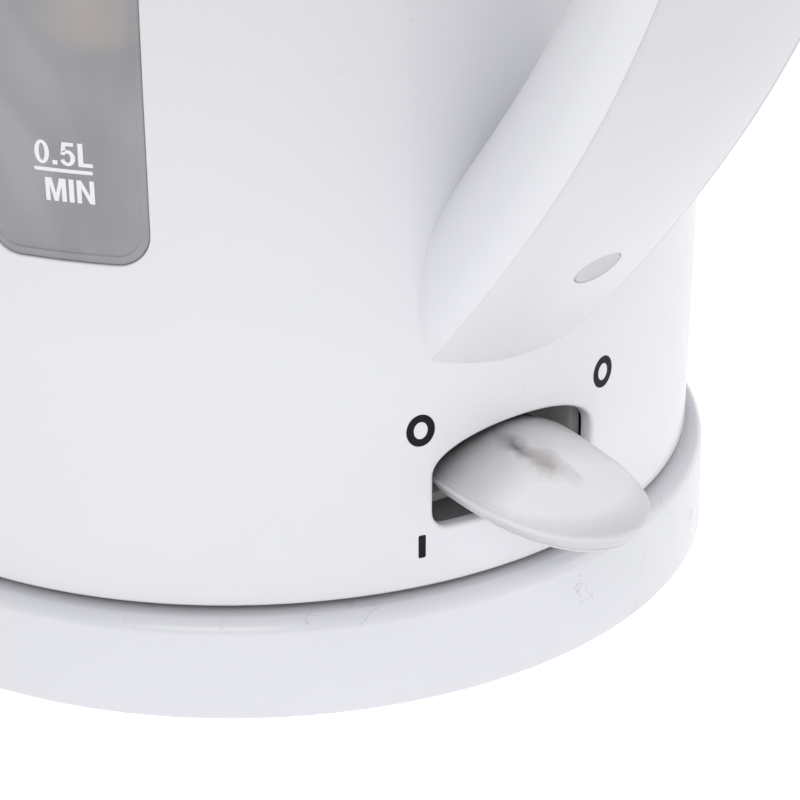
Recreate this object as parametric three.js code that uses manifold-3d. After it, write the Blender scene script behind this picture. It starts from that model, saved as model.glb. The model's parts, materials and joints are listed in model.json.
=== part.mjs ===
// Electric kettle: a white plastic jug with a D-shaped handle, a translucent switch lever in a slot,
// two water windows and a hinged lid, standing on a round power base with a swivelling connector.
// Millimetres, +Z up. The jug's axis is the Z axis, the table is z = 0, the handle points along +X
// and the spout along -X.
import * as THREE from 'three';
import { ParametricGeometry } from 'three/addons/geometries/ParametricGeometry.js';
import { mergeVertices } from 'three/addons/utils/BufferGeometryUtils.js';
import Module from 'manifold-3d';

const wasm = await Module();
wasm.setup();

// ---------------------------------------------------------------- driving dimensions
const GAP = 0.3; // clearance between two pieces that touch
const AROUND = 44; // facets around the large round pieces
const SMALL = 10; // facets around screws, pins and feet
const MEDIUM = 20; // facets around the connector's pieces
const RINGED = 30; // facets around hidden round pieces

const BASE = { radius: 80, bottom: 0.9, top: 18.5, wall: 2.4, fillet: 2.6, dishRadius: 70, dish: 16.8 };
const COVER = { pad: 0.2, bottom: 1.2, top: 3.4, radius: 77.2, padRadius: 18 };
const FOOT = { count: 4, reach: 66, radius: 6, height: 0.9, stem: 2.5 };
const SCREW = { count: 3, head: 2.7, shank: 1.3, clearance: 1.7, post: 4.6 };
const BASE_SCREW_REACH = 50;
const TOWER = { radius: 19, bore: 16.8, bottom: 11.5, top: 27.5, flange: 24 };
const CAP = { radius: 16.3, bottom: 16, top: 30, grooveFloor: 21, hole: 3.4 };
const RINGS = [{ name: 'inner', radius: 7.5 }, { name: 'outer', radius: 12.2 }];
const RING_WALL = 1.2;
const GLAND = { turn: 195, height: 8, bore: 2.6, body: 4.6, collar: 6.4 };

const BODY = { foot: 19.66, footRadius: 76.9, flare: 0.03, shoulder: 105, shoulderCurve: 0.00109 };
const RIM = 202; // top edge of the jug's wall
const WALL = 2.5;
const OUTSIDE_ROWS = 8;
const INSIDE_ROWS = 7;
const SPOUT = { start: 146, reach: 25, halfAngle: 0.56, nose: 0.09, lift: 5, power: 1.7 };
const LEDGE = { bottom: 193.5, top: 196, inner: 63 };
const SEAT = { bottom: 57.5, top: 60, inner: 70.3 };
const SLOT = { bottom: 30, spring: 39.5, rise: 6.9, halfWidth: 16.2, corner: 3 };
const WINDOW = { turn: 54.15, halfWidth: 13.5, bottom: 79, top: 176, corner: 5.5, recess: 0.5, flange: 3 };
const JUG_COVER = { ring: [60, 66], ringBottom: 17.1, bottom: 21, top: 23, radius: 73.6, hole: 21.5 };
const JUG_SCREW_REACH = 71;

const HEATER = { plateRadius: 71, plateBottom: 62.5, plateTop: 63.7, diffuserRadius: 60, elementRadius: 50 };
const STEAM_TUBE = { x: 64, radius: 4, bore: 2.8, bottom: 52, top: 186 };
const CONTROL = { radius: 23, bottom: 33.5, top: 50 };

const LEVER = { pivot: [58, 0, 39.8], tilt: 3, halfWidth: 14.2, neck: 12.4, tip: 46.8, shoulder: 18, roundness: 2.5 };
const LEVER_RIM = [[2.4, -5], [1.2, -3.4], [0, -1.9], [0.3, -1.15]];
const LEVER_DOME = { rise: 7.2, crest: 18.9, front: 27.9, back: 10.2, spineEnd: 27, rings: [0.86, 0.66, 0.42, 0.2] };
const LEVER_LAMP = { x: 25, z: -2.6, radius: 1.2, halfLength: 4.5, grooveEnd: 33, grooveHalf: 2.3, grooveTop: -0.6 };
const FRAME = { inside: 16.8, wall: 2, back: 34, front: 69, bottom: 28.6, top: 50 };
const ROCKER = { pivot: [42, 0, 46], halfWidth: 6 };

const HANDLE = { halfWidth: 17, bulge: 2, bulgeDepth: 6, depth: 21.5, crown: 3.2, coverDepth: 2 };
// The crease line along the handle's outer face, from inside the foot up and over to the lid hinge.
const HANDLE_LINE = [[70, 53.3], [93.6, 79.6], [114.4, 106.7], [130.1, 133.6], [139.6, 157], [141.5, 180],
  [132.5, 202], [112, 215.5], [88, 219.4], [65.8, 219.6]];
const HANDLE_STEPS = 18; // stations along the handle
const COVER_SPAN = [0.01, 0.77]; // the share of the handle line that the outer cover runs along
const COVER_END_GAP = 0.0012; // the clearance at the cover's ends, as a share of the handle line
const CHANNEL_SPAN = [0.09, 0.74]; // the share of the handle line that is hollow
const PLUG = { distance: 36.2, radius: 4, depth: 3 };
const BUTTON = { x: 91, halfLength: 10, halfWidth: 7.5, top: 224, bottom: 215.5, stem: 3, stemBottom: 210.5 };
const LATCH = { halfWidth: 4, bottom: 203.6, top: 206.4, tip: 58.5, end: 96 };

const HINGE = { x: 62, z: 203, pin: 1.5, pinSpan: [11, 21], knuckle: 3.4 };
const LID = { radius: 69.2, edge: 196.6, shoulder: 201, dome: 10, wall: 2.4, chord: 57, insertRadius: 60 };
const FILTER = { x: -64.8, halfWidth: 21, bottom: 152, top: 192.5, thick: 2.4, bar: 3 };

// ---------------------------------------------------------------- finishes
const WHITE = { color: 0xe8e8ec, roughness: 0.22, metalness: 0 };
const FROSTED = { color: 0xdcdee2, roughness: 0.5, metalness: 0 };
const SMOKED = { color: 0xa3a3a8, roughness: 0.2, metalness: 0 };
const BLACK = { color: 0x26272a, roughness: 0.5, metalness: 0 };
const RUBBER = { color: 0x55565a, roughness: 0.8, metalness: 0 };
const SILICONE = { color: 0xd9d6cf, roughness: 0.6, metalness: 0 };
const STEEL = { color: 0xb9bbbe, roughness: 0.3, metalness: 1 };
const ALUMINIUM = { color: 0xc4c6c9, roughness: 0.4, metalness: 1 };
const BRASS = { color: 0xc2a05a, roughness: 0.35, metalness: 1 };
const LAMP = { color: 0xc79a80, roughness: 0.2, metalness: 0 };
const LEADS = [
  { name: 'live', color: 0x6b4a34 }, { name: 'neutral', color: 0x3f62a8 }, { name: 'earth', color: 0x8aa33c },
];

// ---------------------------------------------------------------- helpers: geometry to solids and back
/** Gives six times the signed volume of a triangle mesh. */
function signedVolume(points, corners) {
  let total = 0;
  const [a, b, c] = [new THREE.Vector3(), new THREE.Vector3(), new THREE.Vector3()];
  for (let i = 0; i < corners.length; i += 3) {
    a.fromArray(points, 3 * corners[i]);
    b.fromArray(points, 3 * corners[i + 1]);
    c.fromArray(points, 3 * corners[i + 2]);
    total += a.dot(b.cross(c));
  }
  return total;
}

/** Turns a closed three.js geometry into a solid, with its shared vertices merged and its faces outward. */
function solid(geometry) {
  const bare = geometry.clone();
  bare.deleteAttribute('normal');
  bare.deleteAttribute('uv');
  const merged = mergeVertices(bare, 1e-4);
  const source = merged.index.array;
  const corners = [];
  for (let i = 0; i < source.length; i += 3) {
    const [a, b, c] = [source[i], source[i + 1], source[i + 2]];
    if (a !== b && b !== c && c !== a) corners.push(a, b, c);
  }
  const points = new Float32Array(merged.attributes.position.array);
  if (signedVolume(points, corners) < 0) corners.reverse();
  return new wasm.Manifold(new wasm.Mesh({
    numProp: 3, vertProperties: points, triVerts: new Uint32Array(corners),
  }));
}

/** Gives a solid's triangles back as a three.js geometry. */
function geometryOf(shape) {
  const mesh = shape.getMesh();
  const geometry = new THREE.BufferGeometry();
  geometry.setAttribute('position', new THREE.BufferAttribute(new Float32Array(mesh.vertProperties), 3));
  geometry.setIndex(new THREE.BufferAttribute(new Uint32Array(mesh.triVerts), 1));
  geometry.computeVertexNormals();
  return geometry;
}

/** Adds one named piece to a group and returns its mesh. */
function addPart(group, name, finish, shape) {
  const mesh = new THREE.Mesh(geometryOf(shape), new THREE.MeshStandardMaterial(finish));
  mesh.name = name;
  group.add(mesh);
  return mesh;
}

/** Joins several solids into one. */
function join(...shapes) {
  return shapes.reduce((whole, shape) => whole.add(shape));
}

/** Cuts every other solid out of the first. */
function cut(whole, ...tools) {
  return tools.reduce((rest, tool) => rest.subtract(tool), whole);
}

// ---------------------------------------------------------------- helpers: shapes
/** A solid of revolution about Z from a closed or axis-to-axis list of [radius, height] points. */
function turned(profile, facets = AROUND) {
  const points = profile.map(([radius, height]) => new THREE.Vector2(radius, height));
  return solid(new THREE.LatheGeometry(points, facets).rotateX(Math.PI / 2));
}

/** A ring of rectangular section about Z. */
function ring(inner, outer, bottom, top, facets = AROUND) {
  return turned([[inner, bottom], [outer, bottom], [outer, top], [inner, top], [inner, bottom]], facets);
}

/** An upright cylinder. */
function post(radius, bottom, top, x = 0, y = 0, facets = SMALL) {
  const geometry = new THREE.CylinderGeometry(radius, radius, top - bottom, facets).rotateX(Math.PI / 2);
  return solid(geometry.translate(x, y, (bottom + top) / 2));
}

/** A cylinder along Y, centred on y = 0. */
function crossPost(radius, halfLength, x, z, facets = SMALL) {
  return solid(new THREE.CylinderGeometry(radius, radius, 2 * halfLength, facets).translate(x, 0, z));
}

/** A box given by its two opposite corners. */
function block([x0, y0, z0], [x1, y1, z1]) {
  const geometry = new THREE.BoxGeometry(x1 - x0, y1 - y0, z1 - z0);
  return solid(geometry.translate((x0 + x1) / 2, (y0 + y1) / 2, (z0 + z1) / 2));
}

/** A shape drawn in (across, up), pushed along X from one x to another. */
function pushedAlongX(shape, from, to, turn = 0) {
  const geometry = new THREE.ExtrudeGeometry(shape, { depth: to - from, bevelEnabled: false, curveSegments: 4 });
  geometry.translate(0, 0, from);
  geometry.applyMatrix4(new THREE.Matrix4().makeBasis(
    new THREE.Vector3(0, 1, 0), new THREE.Vector3(0, 0, 1), new THREE.Vector3(1, 0, 0)));
  return solid(geometry.rotateZ(THREE.MathUtils.degToRad(turn)));
}

/** A rectangle with round corners, centred across and given by its two heights. */
function roundedOutline(halfWidth, bottom, top, corner) {
  const shape = new THREE.Shape();
  shape.moveTo(-halfWidth + corner, bottom);
  shape.absarc(halfWidth - corner, bottom + corner, corner, -Math.PI / 2, 0, false);
  shape.absarc(halfWidth - corner, top - corner, corner, 0, Math.PI / 2, false);
  shape.absarc(-halfWidth + corner, top - corner, corner, Math.PI / 2, Math.PI, false);
  shape.absarc(-halfWidth + corner, bottom + corner, corner, Math.PI, 1.5 * Math.PI, false);
  return shape;
}

/** A round wire along a smooth curve through the given points. */
function wire(points, radius, steps, sides = 6) {
  const path = new THREE.CatmullRomCurve3(points.map((point) => new THREE.Vector3(...point)));
  const section = new THREE.Shape().absarc(0, 0, radius, 0, 2 * Math.PI, false);
  const options = { steps, extrudePath: path, curveSegments: sides / 2, bevelEnabled: false };
  return solid(new THREE.ExtrudeGeometry(section, options));
}

/** The places of evenly spaced repeats around the axis, as [x, y, number] triples. */
function around(count, reach, firstTurn) {
  return Array.from({ length: count }, (_, i) => {
    const angle = THREE.MathUtils.degToRad(firstTurn + (360 / count) * i);
    return [reach * Math.cos(angle), reach * Math.sin(angle), i + 1];
  });
}

// ---------------------------------------------------------------- the jug's wall
/** The wall's outer radius: a gentle flare below the shoulder and a parabola inwards above it. */
function wallRadius(z) {
  const past = Math.max(0, z - BODY.shoulder);
  return BODY.footRadius + BODY.flare * (z - BODY.foot) - BODY.shoulderCurve * past * past;
}

/** How far the spout pushes the wall out, at an angle around the axis and a share of its height. */
function spoutShare(angle) {
  const off = Math.PI - Math.abs(((angle + Math.PI) % (2 * Math.PI)) - Math.PI);
  const soft = Math.sqrt(off * off + SPOUT.nose * SPOUT.nose) - SPOUT.nose;
  return Math.max(0, 1 - soft / SPOUT.halfAngle) ** SPOUT.power;
}

/** A point of the wall, moved inwards by an inset. */
function wallPoint(angle, z, inset, lifted, target) {
  const share = spoutShare(angle);
  const climb = THREE.MathUtils.clamp((z - SPOUT.start) / (RIM - SPOUT.start), 0, 1);
  const radius = wallRadius(z) - inset + SPOUT.reach * share * climb ** 1.5;
  return target.set(radius * Math.cos(angle), radius * Math.sin(angle), z + lifted * share);
}

/** A shelf on the inside of the wall as two rows, [height, inset], reaching in to a radius. */
function shelfRows(shelf) {
  return [shelf.top, shelf.bottom].map((z) => [z, wallRadius(z) - shelf.inner]);
}

/** The rows of the wall's closed profile, [height, inset]: up the outside, over the rim, down the inside. */
function wallRows() {
  const edge = 0.8;
  const height = (share) => BODY.foot + (RIM - edge - BODY.foot) * share ** 0.6;
  const outside = Array.from({ length: OUTSIDE_ROWS + 1 }, (_, i) => [height(i / OUTSIDE_ROWS), 0]);
  const inside = Array.from({ length: INSIDE_ROWS + 1 }, (_, i) => [height(1 - i / INSIDE_ROWS), WALL])
    .filter(([z]) => Math.abs(z - LEDGE.top) > 4 && Math.abs(z - SEAT.top) > 4);
  const belowLedge = inside.findIndex(([z]) => z < LEDGE.bottom);
  inside.splice(belowLedge, 0, [LEDGE.top, WALL], ...shelfRows(LEDGE), [LEDGE.bottom, WALL]);
  const belowSeat = inside.findIndex(([z]) => z < SEAT.bottom);
  inside.splice(belowSeat, 0, [SEAT.top, WALL], ...shelfRows(SEAT), [SEAT.bottom, WALL]);
  return [...outside, [RIM, edge], [RIM, WALL - edge], ...inside, outside[0]];
}

/** The hollow wall with its spout, heater seat and lid ledge, open above and below. */
function wallShell() {
  const rows = wallRows();
  const surface = (u, v, target) => {
    const [z, inset] = rows[Math.round(v * (rows.length - 1))];
    const angle = 2 * Math.PI * (u % 1);
    const climb = THREE.MathUtils.clamp((z - SPOUT.start) / (RIM - SPOUT.start), 0, 1);
    const ledgeShare = z > SPOUT.start ? Math.max(0.1, 1 - 8 * spoutShare(angle)) : 1;
    const deep = WALL + (inset - WALL) * ledgeShare;
    wallPoint(angle, z, inset > WALL ? deep : inset, SPOUT.lift * climb, target);
  };
  return solid(new ParametricGeometry(surface, AROUND, rows.length - 1));
}

/** A filled round solid as wide as the wall plus an offset, between two heights. */
function wallFill(offset, bottom, top, rows = 5) {
  const profile = [[0, bottom]];
  for (let i = 0; i <= rows; i += 1) {
    const z = bottom + ((top - bottom) * i) / rows;
    profile.push([wallRadius(z) + offset, z]);
  }
  profile.push([0, top]);
  return turned(profile);
}

/** The switch slot's outline: flat below, with round corners, and arched above. */
function slotOutline() {
  const { halfWidth, bottom, spring, rise, corner } = SLOT;
  const shape = new THREE.Shape();
  shape.moveTo(-halfWidth + corner, bottom);
  shape.absarc(halfWidth - corner, bottom + corner, corner, -Math.PI / 2, 0, false);
  shape.absellipse(0, spring, halfWidth, rise, 0, Math.PI, false, 0);
  shape.absarc(-halfWidth + corner, bottom + corner, corner, Math.PI, 1.5 * Math.PI, false);
  return shape;
}

/** The jug: wall, spout, lid ledge, heater seat, screw posts, switch slot and window openings. */
function jugBody() {
  const posts = around(SCREW.count, JUG_SCREW_REACH, 60).map(([x, y]) => cut(
    post(SCREW.post - 0.9, JUG_COVER.top + GAP, 36, x, y),
    post(SCREW.clearance, JUG_COVER.top, 31, x, y),
  ));
  const windows = [-1, 1].map((side) => pushedAlongX(
    roundedOutline(WINDOW.halfWidth, WINDOW.bottom, WINDOW.top, WINDOW.corner), 60, 95, side * WINDOW.turn));
  return cut(join(wallShell(), ...posts), pushedAlongX(slotOutline(), 60, 95), ...windows);
}

/** A window: a pane set a little below the wall's face, with a flange behind the wall. */
function windowPane(side) {
  const { halfWidth, bottom, top, corner, recess, flange, turn } = WINDOW;
  const behind = WALL + 2 * GAP;
  const back = behind + 1.4;
  const pane = pushedAlongX(roundedOutline(halfWidth - GAP, bottom + GAP, top - GAP, corner - GAP), 60, 95, side * turn)
    .intersect(wallFill(-recess, bottom, top));
  const rim = pushedAlongX(
    roundedOutline(halfWidth + flange, bottom - flange, top + flange, corner + flange), 60, 95, side * turn)
    .intersect(wallFill(-behind, bottom - flange - 1, top + flange + 1));
  return join(pane, rim).subtract(wallFill(-back, bottom - flange - 2, top + flange + 2));
}

// ---------------------------------------------------------------- the handle
const handleLine = new THREE.SplineCurve(HANDLE_LINE.map(([x, z]) => new THREE.Vector2(x, z)));
const handleLength = handleLine.getLength();

/** A frame on the handle line: its point, its tangent and the direction into the handle. */
function handleFrame(share) {
  const point = handleLine.getPointAt(share);
  const tangent = handleLine.getTangentAt(share);
  return { point, tangent, inward: new THREE.Vector2(-tangent.y, tangent.x) };
}

/** Height of the crowned outer face above the crease line, at a place across it. */
function crownAt(across) {
  return HANDLE.crown * (1 - (across / HANDLE.halfWidth) ** 2);
}

/** The grip's outline as [across, depth] points: crowned face, bulging sides and a round keel. */
function gripOutline() {
  const { halfWidth, bulge, bulgeDepth, depth } = HANDLE;
  const face = Array.from({ length: 5 }, (_, i) => halfWidth * (i / 2 - 1)).map((across) => [across, -crownAt(across)]);
  const side = [[halfWidth + 0.75 * bulge, bulgeDepth / 2]];
  const steps = 5;
  for (let i = 0; i < steps; i += 1) {
    const sweep = (i / steps) * (Math.PI / 2);
    const across = (halfWidth + bulge) * Math.cos(sweep) ** 0.9;
    side.push([across, bulgeDepth + (depth - bulgeDepth) * Math.sin(sweep) ** 0.87]);
  }
  const mirrored = [...side].reverse().map(([across, into]) => [-across, into]);
  return [...face, ...side, [0, depth], ...mirrored];
}

/** The outer cover's outline: the crowned face and a flat back with slanted sides. */
function coverOutline() {
  const { halfWidth, coverDepth } = HANDLE;
  const face = Array.from({ length: 9 }, (_, i) => halfWidth * (i / 4 - 1)).map((across) => [across, -crownAt(across)]);
  const back = halfWidth - 2.4;
  return [...face, [back, coverDepth], [-back, coverDepth]];
}

/** The cover's seat in the grip: open above, and deeper and wider than the cover by the clearance. */
function coverSeatOutline() {
  const { halfWidth, crown, coverDepth } = HANDLE;
  const edge = halfWidth + 4;
  const back = halfWidth - 2.4 + GAP;
  return [[-edge, -crown - 4], [edge, -crown - 4], [edge, -4], [halfWidth + GAP, -GAP], [back, coverDepth + GAP],
    [-back, coverDepth + GAP], [-halfWidth - GAP, -GAP], [-edge, -4]];
}

/** The hollow inside the grip: a trough with cut corners under the outer cover. */
function channelOutline() {
  return [[-12, 1], [12, 1], [12, 11], [7, 17], [-7, 17], [-12, 11]];
}

/** Sweeps a closed outline along the handle line between two shares of its length, with closed ends. */
function sweptAlongHandle(outline, from, to, stations) {
  const rows = stations + 2;
  const surface = (u, v, target) => {
    const row = Math.round(v * rows);
    const share = from + (to - from) * THREE.MathUtils.clamp((row - 1) / stations, 0, 1);
    const { point, inward } = handleFrame(share);
    const closing = row === 0 || row === rows;
    const [across, depth] = closing ? [0, 0] : outline[Math.round(u * outline.length) % outline.length];
    target.set(point.x + inward.x * depth, across, point.y + inward.y * depth);
  };
  return solid(new ParametricGeometry(surface, outline.length, rows));
}

/** A cylinder that runs into the handle at a distance along its line, between two depths. */
function handleBore(distance, radius, from, to, facets = SMALL) {
  const { point, inward } = handleFrame(distance / handleLength);
  const middle = (from + to) / 2;
  const geometry = new THREE.CylinderGeometry(radius, radius, to - from, facets);
  geometry.rotateX(Math.PI / 2).rotateY(Math.atan2(inward.x, inward.y));
  return solid(geometry.translate(point.x + inward.x * middle, 0, point.y + inward.y * middle));
}

/** The jug and its rim as one filled solid, which trims the handle's foot and top end. */
function handleTrim() {
  return wallFill(GAP, 40, RIM + GAP);
}

/** The handle's channel-shaped grip, open towards the outer cover, with a pocket for the release button. */
function handleGrip() {
  const whole = sweptAlongHandle(gripOutline(), 0, 1, HANDLE_STEPS);
  const seat = sweptAlongHandle(coverSeatOutline(), ...COVER_SPAN, HANDLE_STEPS);
  const channel = sweptAlongHandle(channelOutline(), ...CHANNEL_SPAN, HANDLE_STEPS);
  const pocket = block(
    [BUTTON.x - BUTTON.halfLength - GAP, -BUTTON.halfWidth - GAP, LATCH.bottom - GAP],
    [BUTTON.x + BUTTON.halfLength + GAP, BUTTON.halfWidth + GAP, 240],
  );
  const track = block([50, -LATCH.halfWidth - GAP, LATCH.bottom - GAP], [103, LATCH.halfWidth + GAP, LATCH.top + GAP]);
  const screwWay = handleBore(PLUG.distance, SCREW.clearance, 0, 40);
  return cut(whole, handleTrim(), seat, channel, pocket, track, screwWay);
}

/** The outer cover along the handle's crowned face, bored for the screw plug. */
function handleCover() {
  const [from, to] = COVER_SPAN;
  const strip = sweptAlongHandle(coverOutline(), from + COVER_END_GAP, to - COVER_END_GAP, HANDLE_STEPS);
  const bore = handleBore(PLUG.distance, PLUG.radius + GAP, -12, 0.4, MEDIUM);
  const shankWay = handleBore(PLUG.distance, SCREW.clearance, 0, 10);
  return cut(strip, handleTrim(), bore, shankWay);
}

// ---------------------------------------------------------------- power base
/** The base's top shell: side wall, round edge, rim and dish, with a hole for the connector. */
function baseHousing() {
  const { radius, bottom, top, wall, fillet, dishRadius, dish } = BASE;
  const under = dish - wall;
  const inner = radius - wall;
  const profile = [[inner, bottom], [radius, bottom]];
  for (let i = 0; i <= 3; i += 1) {
    const angle = (i / 3) * (Math.PI / 2);
    profile.push([radius - fillet + fillet * Math.cos(angle), top - fillet + fillet * Math.sin(angle)]);
  }
  profile.push([dishRadius + 2, top], [dishRadius, dish], [24, dish], [22.6, dish + 1.2]);
  profile.push([TOWER.radius + GAP, dish + 1.2], [TOWER.radius + GAP, under], [dishRadius - 1, under]);
  profile.push([dishRadius + 1, top - wall], [inner - 1, top - wall], [inner, top - wall - 1], [inner, bottom]);
  const shell = turned(profile);
  const posts = around(SCREW.count, BASE_SCREW_REACH, 30).map(([x, y]) => cut(
    post(3.6, 7.6, under + 0.6, x, y), post(SCREW.clearance, 7, 13, x, y)));
  const glandHole = glandTurned(solid(new THREE.CylinderGeometry(GLAND.body + GAP, GLAND.body + GAP, 20, SMALL)
    .rotateZ(Math.PI / 2).translate(BASE.radius, 0, 0)));
  return cut(join(shell, ...posts), glandHole);
}

/** Moves a solid made along +X at height 0 to the cord gland's direction and height. */
function glandTurned(shape) {
  return shape.rotate([0, 0, GLAND.turn]).translate([0, 0, GLAND.height]);
}

/** The base's underside, with a flat centre pad, holes for the feet and deep seats for the screws. */
function baseCover() {
  const { pad, bottom, top, radius, padRadius } = COVER;
  const plate = turned([[0, pad], [padRadius, pad], [padRadius + 1, bottom], [radius, bottom], [radius, top], [0, top]]);
  const footHoles = around(FOOT.count, FOOT.reach, 45).map(([x, y]) => post(FOOT.stem + GAP, 0, 10, x, y));
  const places = around(SCREW.count, BASE_SCREW_REACH, 30);
  const cups = places.map(([x, y]) => post(SCREW.post, bottom + 0.5, 7.3, x, y));
  const seats = places.map(([x, y]) => join(post(SCREW.head + GAP, 0, 5.2, x, y), post(SCREW.clearance, 0, 9, x, y)));
  return cut(join(plate, ...cups), ...footHoles, ...seats);
}

/** A push-in rubber foot, standing on z = 0. */
function rubberFoot() {
  const { radius, height, stem } = FOOT;
  const neck = COVER.top + GAP;
  return turned([[0, 0], [radius - 0.3, 0], [radius, 0.3], [radius, height], [stem, height], [stem, neck],
    [stem + 1.2, neck], [stem - 0.4, neck + 1.7], [0, neck + 1.7]], SMALL);
}

/** A pan-head screw, its head below z = 0 and its shank above. */
function panScrew(length) {
  const { head, shank } = SCREW;
  return turned([[0, -1.8], [head - 0.6, -1.8], [head, -1.2], [head, 0], [shank, 0], [shank, length - 1], [0, length]],
    SMALL);
}

function buildBase() {
  const group = new THREE.Group();
  addPart(group, 'base_housing', WHITE, baseHousing());
  addPart(group, 'base_cover', WHITE, baseCover());
  for (const [x, y, number] of around(FOOT.count, FOOT.reach, 45)) {
    addPart(group, `base_foot_${number}`, RUBBER, rubberFoot()).position.set(x, y, 0);
  }
  for (const [x, y, number] of around(SCREW.count, BASE_SCREW_REACH, 30)) {
    addPart(group, `base_screw_${number}`, STEEL, panScrew(7.5)).position.set(x, y, 4.9);
  }
  const { radius, bore, bottom, top, flange } = TOWER;
  const floor = bottom + 2;
  addPart(group, 'base_connector', BLACK, turned([[0, bottom], [flange, bottom], [flange, floor + 0.6],
    [radius, floor + 0.6], [radius, top - 0.6], [radius - 0.6, top], [bore, top], [bore, floor], [0, floor]], MEDIUM));
  addPart(group, 'cord_gland', BLACK, glandTurned(cut(
    join(
      solid(new THREE.CylinderGeometry(GLAND.body, GLAND.body, 10, SMALL).rotateZ(Math.PI / 2)
        .translate(BASE.radius - 4, 0, 0)),
      solid(new THREE.CylinderGeometry(GLAND.collar, GLAND.collar, 1.8, SMALL).rotateZ(Math.PI / 2)
        .translate(BASE.radius + GAP + 0.9, 0, 0)),
    ),
    solid(new THREE.CylinderGeometry(GLAND.bore, GLAND.bore, 30, SMALL).rotateZ(Math.PI / 2)
      .translate(BASE.radius, 0, 0)),
  )));
  addPart(group, 'terminal_block', BLACK, glandTurned(block([50, -8, -3.2], [62, 8, 3.2])));
  LEADS.forEach(({ name, color }, i) => {
    const off = (i - 1) * 4.5;
    const route = [[49.6, off, 0], [42, off, 0.4], [33, 0.8 * off, 0.2], [25, 0.6 * off, 1]];
    addPart(group, `base_lead_${name}`, { color, roughness: 0.5, metalness: 0 }, glandTurned(wire(route, 1.1, 5)));
  });
  return group;
}

/** The connector's round cap: a hole for the earth pin and two grooves for the jug's contact rings. */
function buildSwivelCap() {
  const { radius, bottom, top, grooveFloor, hole } = CAP;
  const profile = [[hole, bottom], [radius, bottom], [radius, top - 1.4], [radius - 1, top]];
  for (const { radius: middle } of [...RINGS].reverse()) {
    const [inner, outer] = [middle - RING_WALL / 2 - 0.5, middle + RING_WALL / 2 + 0.5];
    profile.push([outer, top], [outer, grooveFloor], [inner, grooveFloor], [inner, top]);
  }
  profile.push([hole, top], [hole, bottom]);
  const group = new THREE.Group();
  addPart(group, 'swivel_cap', BLACK, turned(profile, MEDIUM));
  return group;
}

// ---------------------------------------------------------------- underside, heater and control
/** The jug's underside: a plate with a foot ring, a collar round the socket and holes for the screws. */
function jugCover() {
  const { ring: [inner, outer], ringBottom, bottom, top, radius, hole } = JUG_COVER;
  const collar = hole + 2.2;
  const plate = turned([[hole, bottom], [inner, bottom], [inner, ringBottom], [outer, ringBottom], [outer, bottom],
    [radius, bottom], [radius, top], [collar, top], [collar, 32.5], [hole, 32.5], [hole, bottom]], RINGED);
  const holes = around(SCREW.count, JUG_SCREW_REACH, 60).map(([x, y]) => post(SCREW.clearance, 20, 24, x, y));
  return cut(plate, ...holes);
}

function buildHeater(jug) {
  const { plateRadius, plateBottom, plateTop, diffuserRadius, elementRadius } = HEATER;
  const tubeHole = post(STEAM_TUBE.radius + GAP, 50, 80, STEAM_TUBE.x, 0);
  addPart(jug, 'heater_plate', STEEL, cut(turned([[0, plateBottom], [plateRadius, plateBottom],
    [plateRadius, plateTop], [0, plateTop]], RINGED), tubeHole));
  addPart(jug, 'plate_gasket', SILICONE, turned([[SEAT.inner + 0.2, SEAT.top + GAP], [75.1, SEAT.top + GAP],
    [75.1, 65], [plateRadius + GAP, 65], [plateRadius + GAP, plateBottom - GAP], [SEAT.inner + 0.2, plateBottom - GAP],
    [SEAT.inner + 0.2, SEAT.top + GAP]], RINGED));
  addPart(jug, 'heat_spreader', ALUMINIUM, cut(post(diffuserRadius, 60.4, 62.2, 0, 0, RINGED), tubeHole));
  const arc = (turn) => [elementRadius * Math.cos(turn), elementRadius * Math.sin(turn), 56.8];
  const turns = Array.from({ length: 13 }, (_, i) => 0.45 + ((2 * Math.PI - 0.9) * i) / 12);
  addPart(jug, 'heating_element', STEEL, wire(turns.map(arc), 3.2, 26, 8));
  for (const side of [-1, 1]) {
    addPart(jug, `element_pin_${side < 0 ? 1 : 2}`, STEEL, post(1.4, -4.8, 4.8))
      .position.set(41, side * 16, 55.3);
  }
  const { x, radius, bore, bottom, top } = STEAM_TUBE;
  addPart(jug, 'steam_tube', WHITE, ring(bore, radius, bottom, top, SMALL)).position.x = x;
}

function buildControl(jug) {
  const { radius, bottom, top } = CONTROL;
  addPart(jug, 'control_body', BLACK, turned([[0, bottom], [radius, bottom], [radius, top - 6], [radius - 3, top - 5],
    [radius - 3, top], [0, top]], MEDIUM));
  addPart(jug, 'earth_pin', BRASS, turned([[0, 18.5], [1.6, 18.5], [2.6, 20.5], [2.6, bottom - GAP],
    [0, bottom - GAP]], SMALL));
  for (const { name, radius: middle } of RINGS) {
    const half = RING_WALL / 2;
    addPart(jug, `contact_ring_${name}`, BRASS, ring(middle - half, middle + half, 22, bottom - GAP, 24));
  }
  for (const side of [-1, 1]) {
    addPart(jug, `bimetal_disc_${side < 0 ? 1 : 2}`, STEEL, turned([[0, 0.9], [8.5, 0], [8.5, 0.5], [0, 1.4]], SMALL))
      .position.set(0, side * 10.5, top + GAP);
  }
}

// ---------------------------------------------------------------- switch
/** The frame behind the slot that carries the lever: two cheeks, a back, a floor and a bridge. */
function switchFrame() {
  const { inside, wall, back, front, bottom, top } = FRAME;
  const outside = inside + wall;
  const [x, , z] = LEVER.pivot;
  const whole = join(
    block([back, -outside, bottom], [back + wall, outside, top]),
    block([back, -outside, bottom], [front, -inside, top]),
    block([back, inside, bottom], [front, outside, top]),
    block([back, -outside, bottom], [front - 4, outside, bottom + wall - 0.5]),
    block([front - 16, -outside, top - wall], [front, outside, top]),
  );
  const tubeWay = post(STEAM_TUBE.bore, top - 4, top + 4, STEAM_TUBE.x, 0);
  return cut(whole, crossPost(HINGE.pin + GAP, 30, x, z), tubeWay);
}

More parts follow.
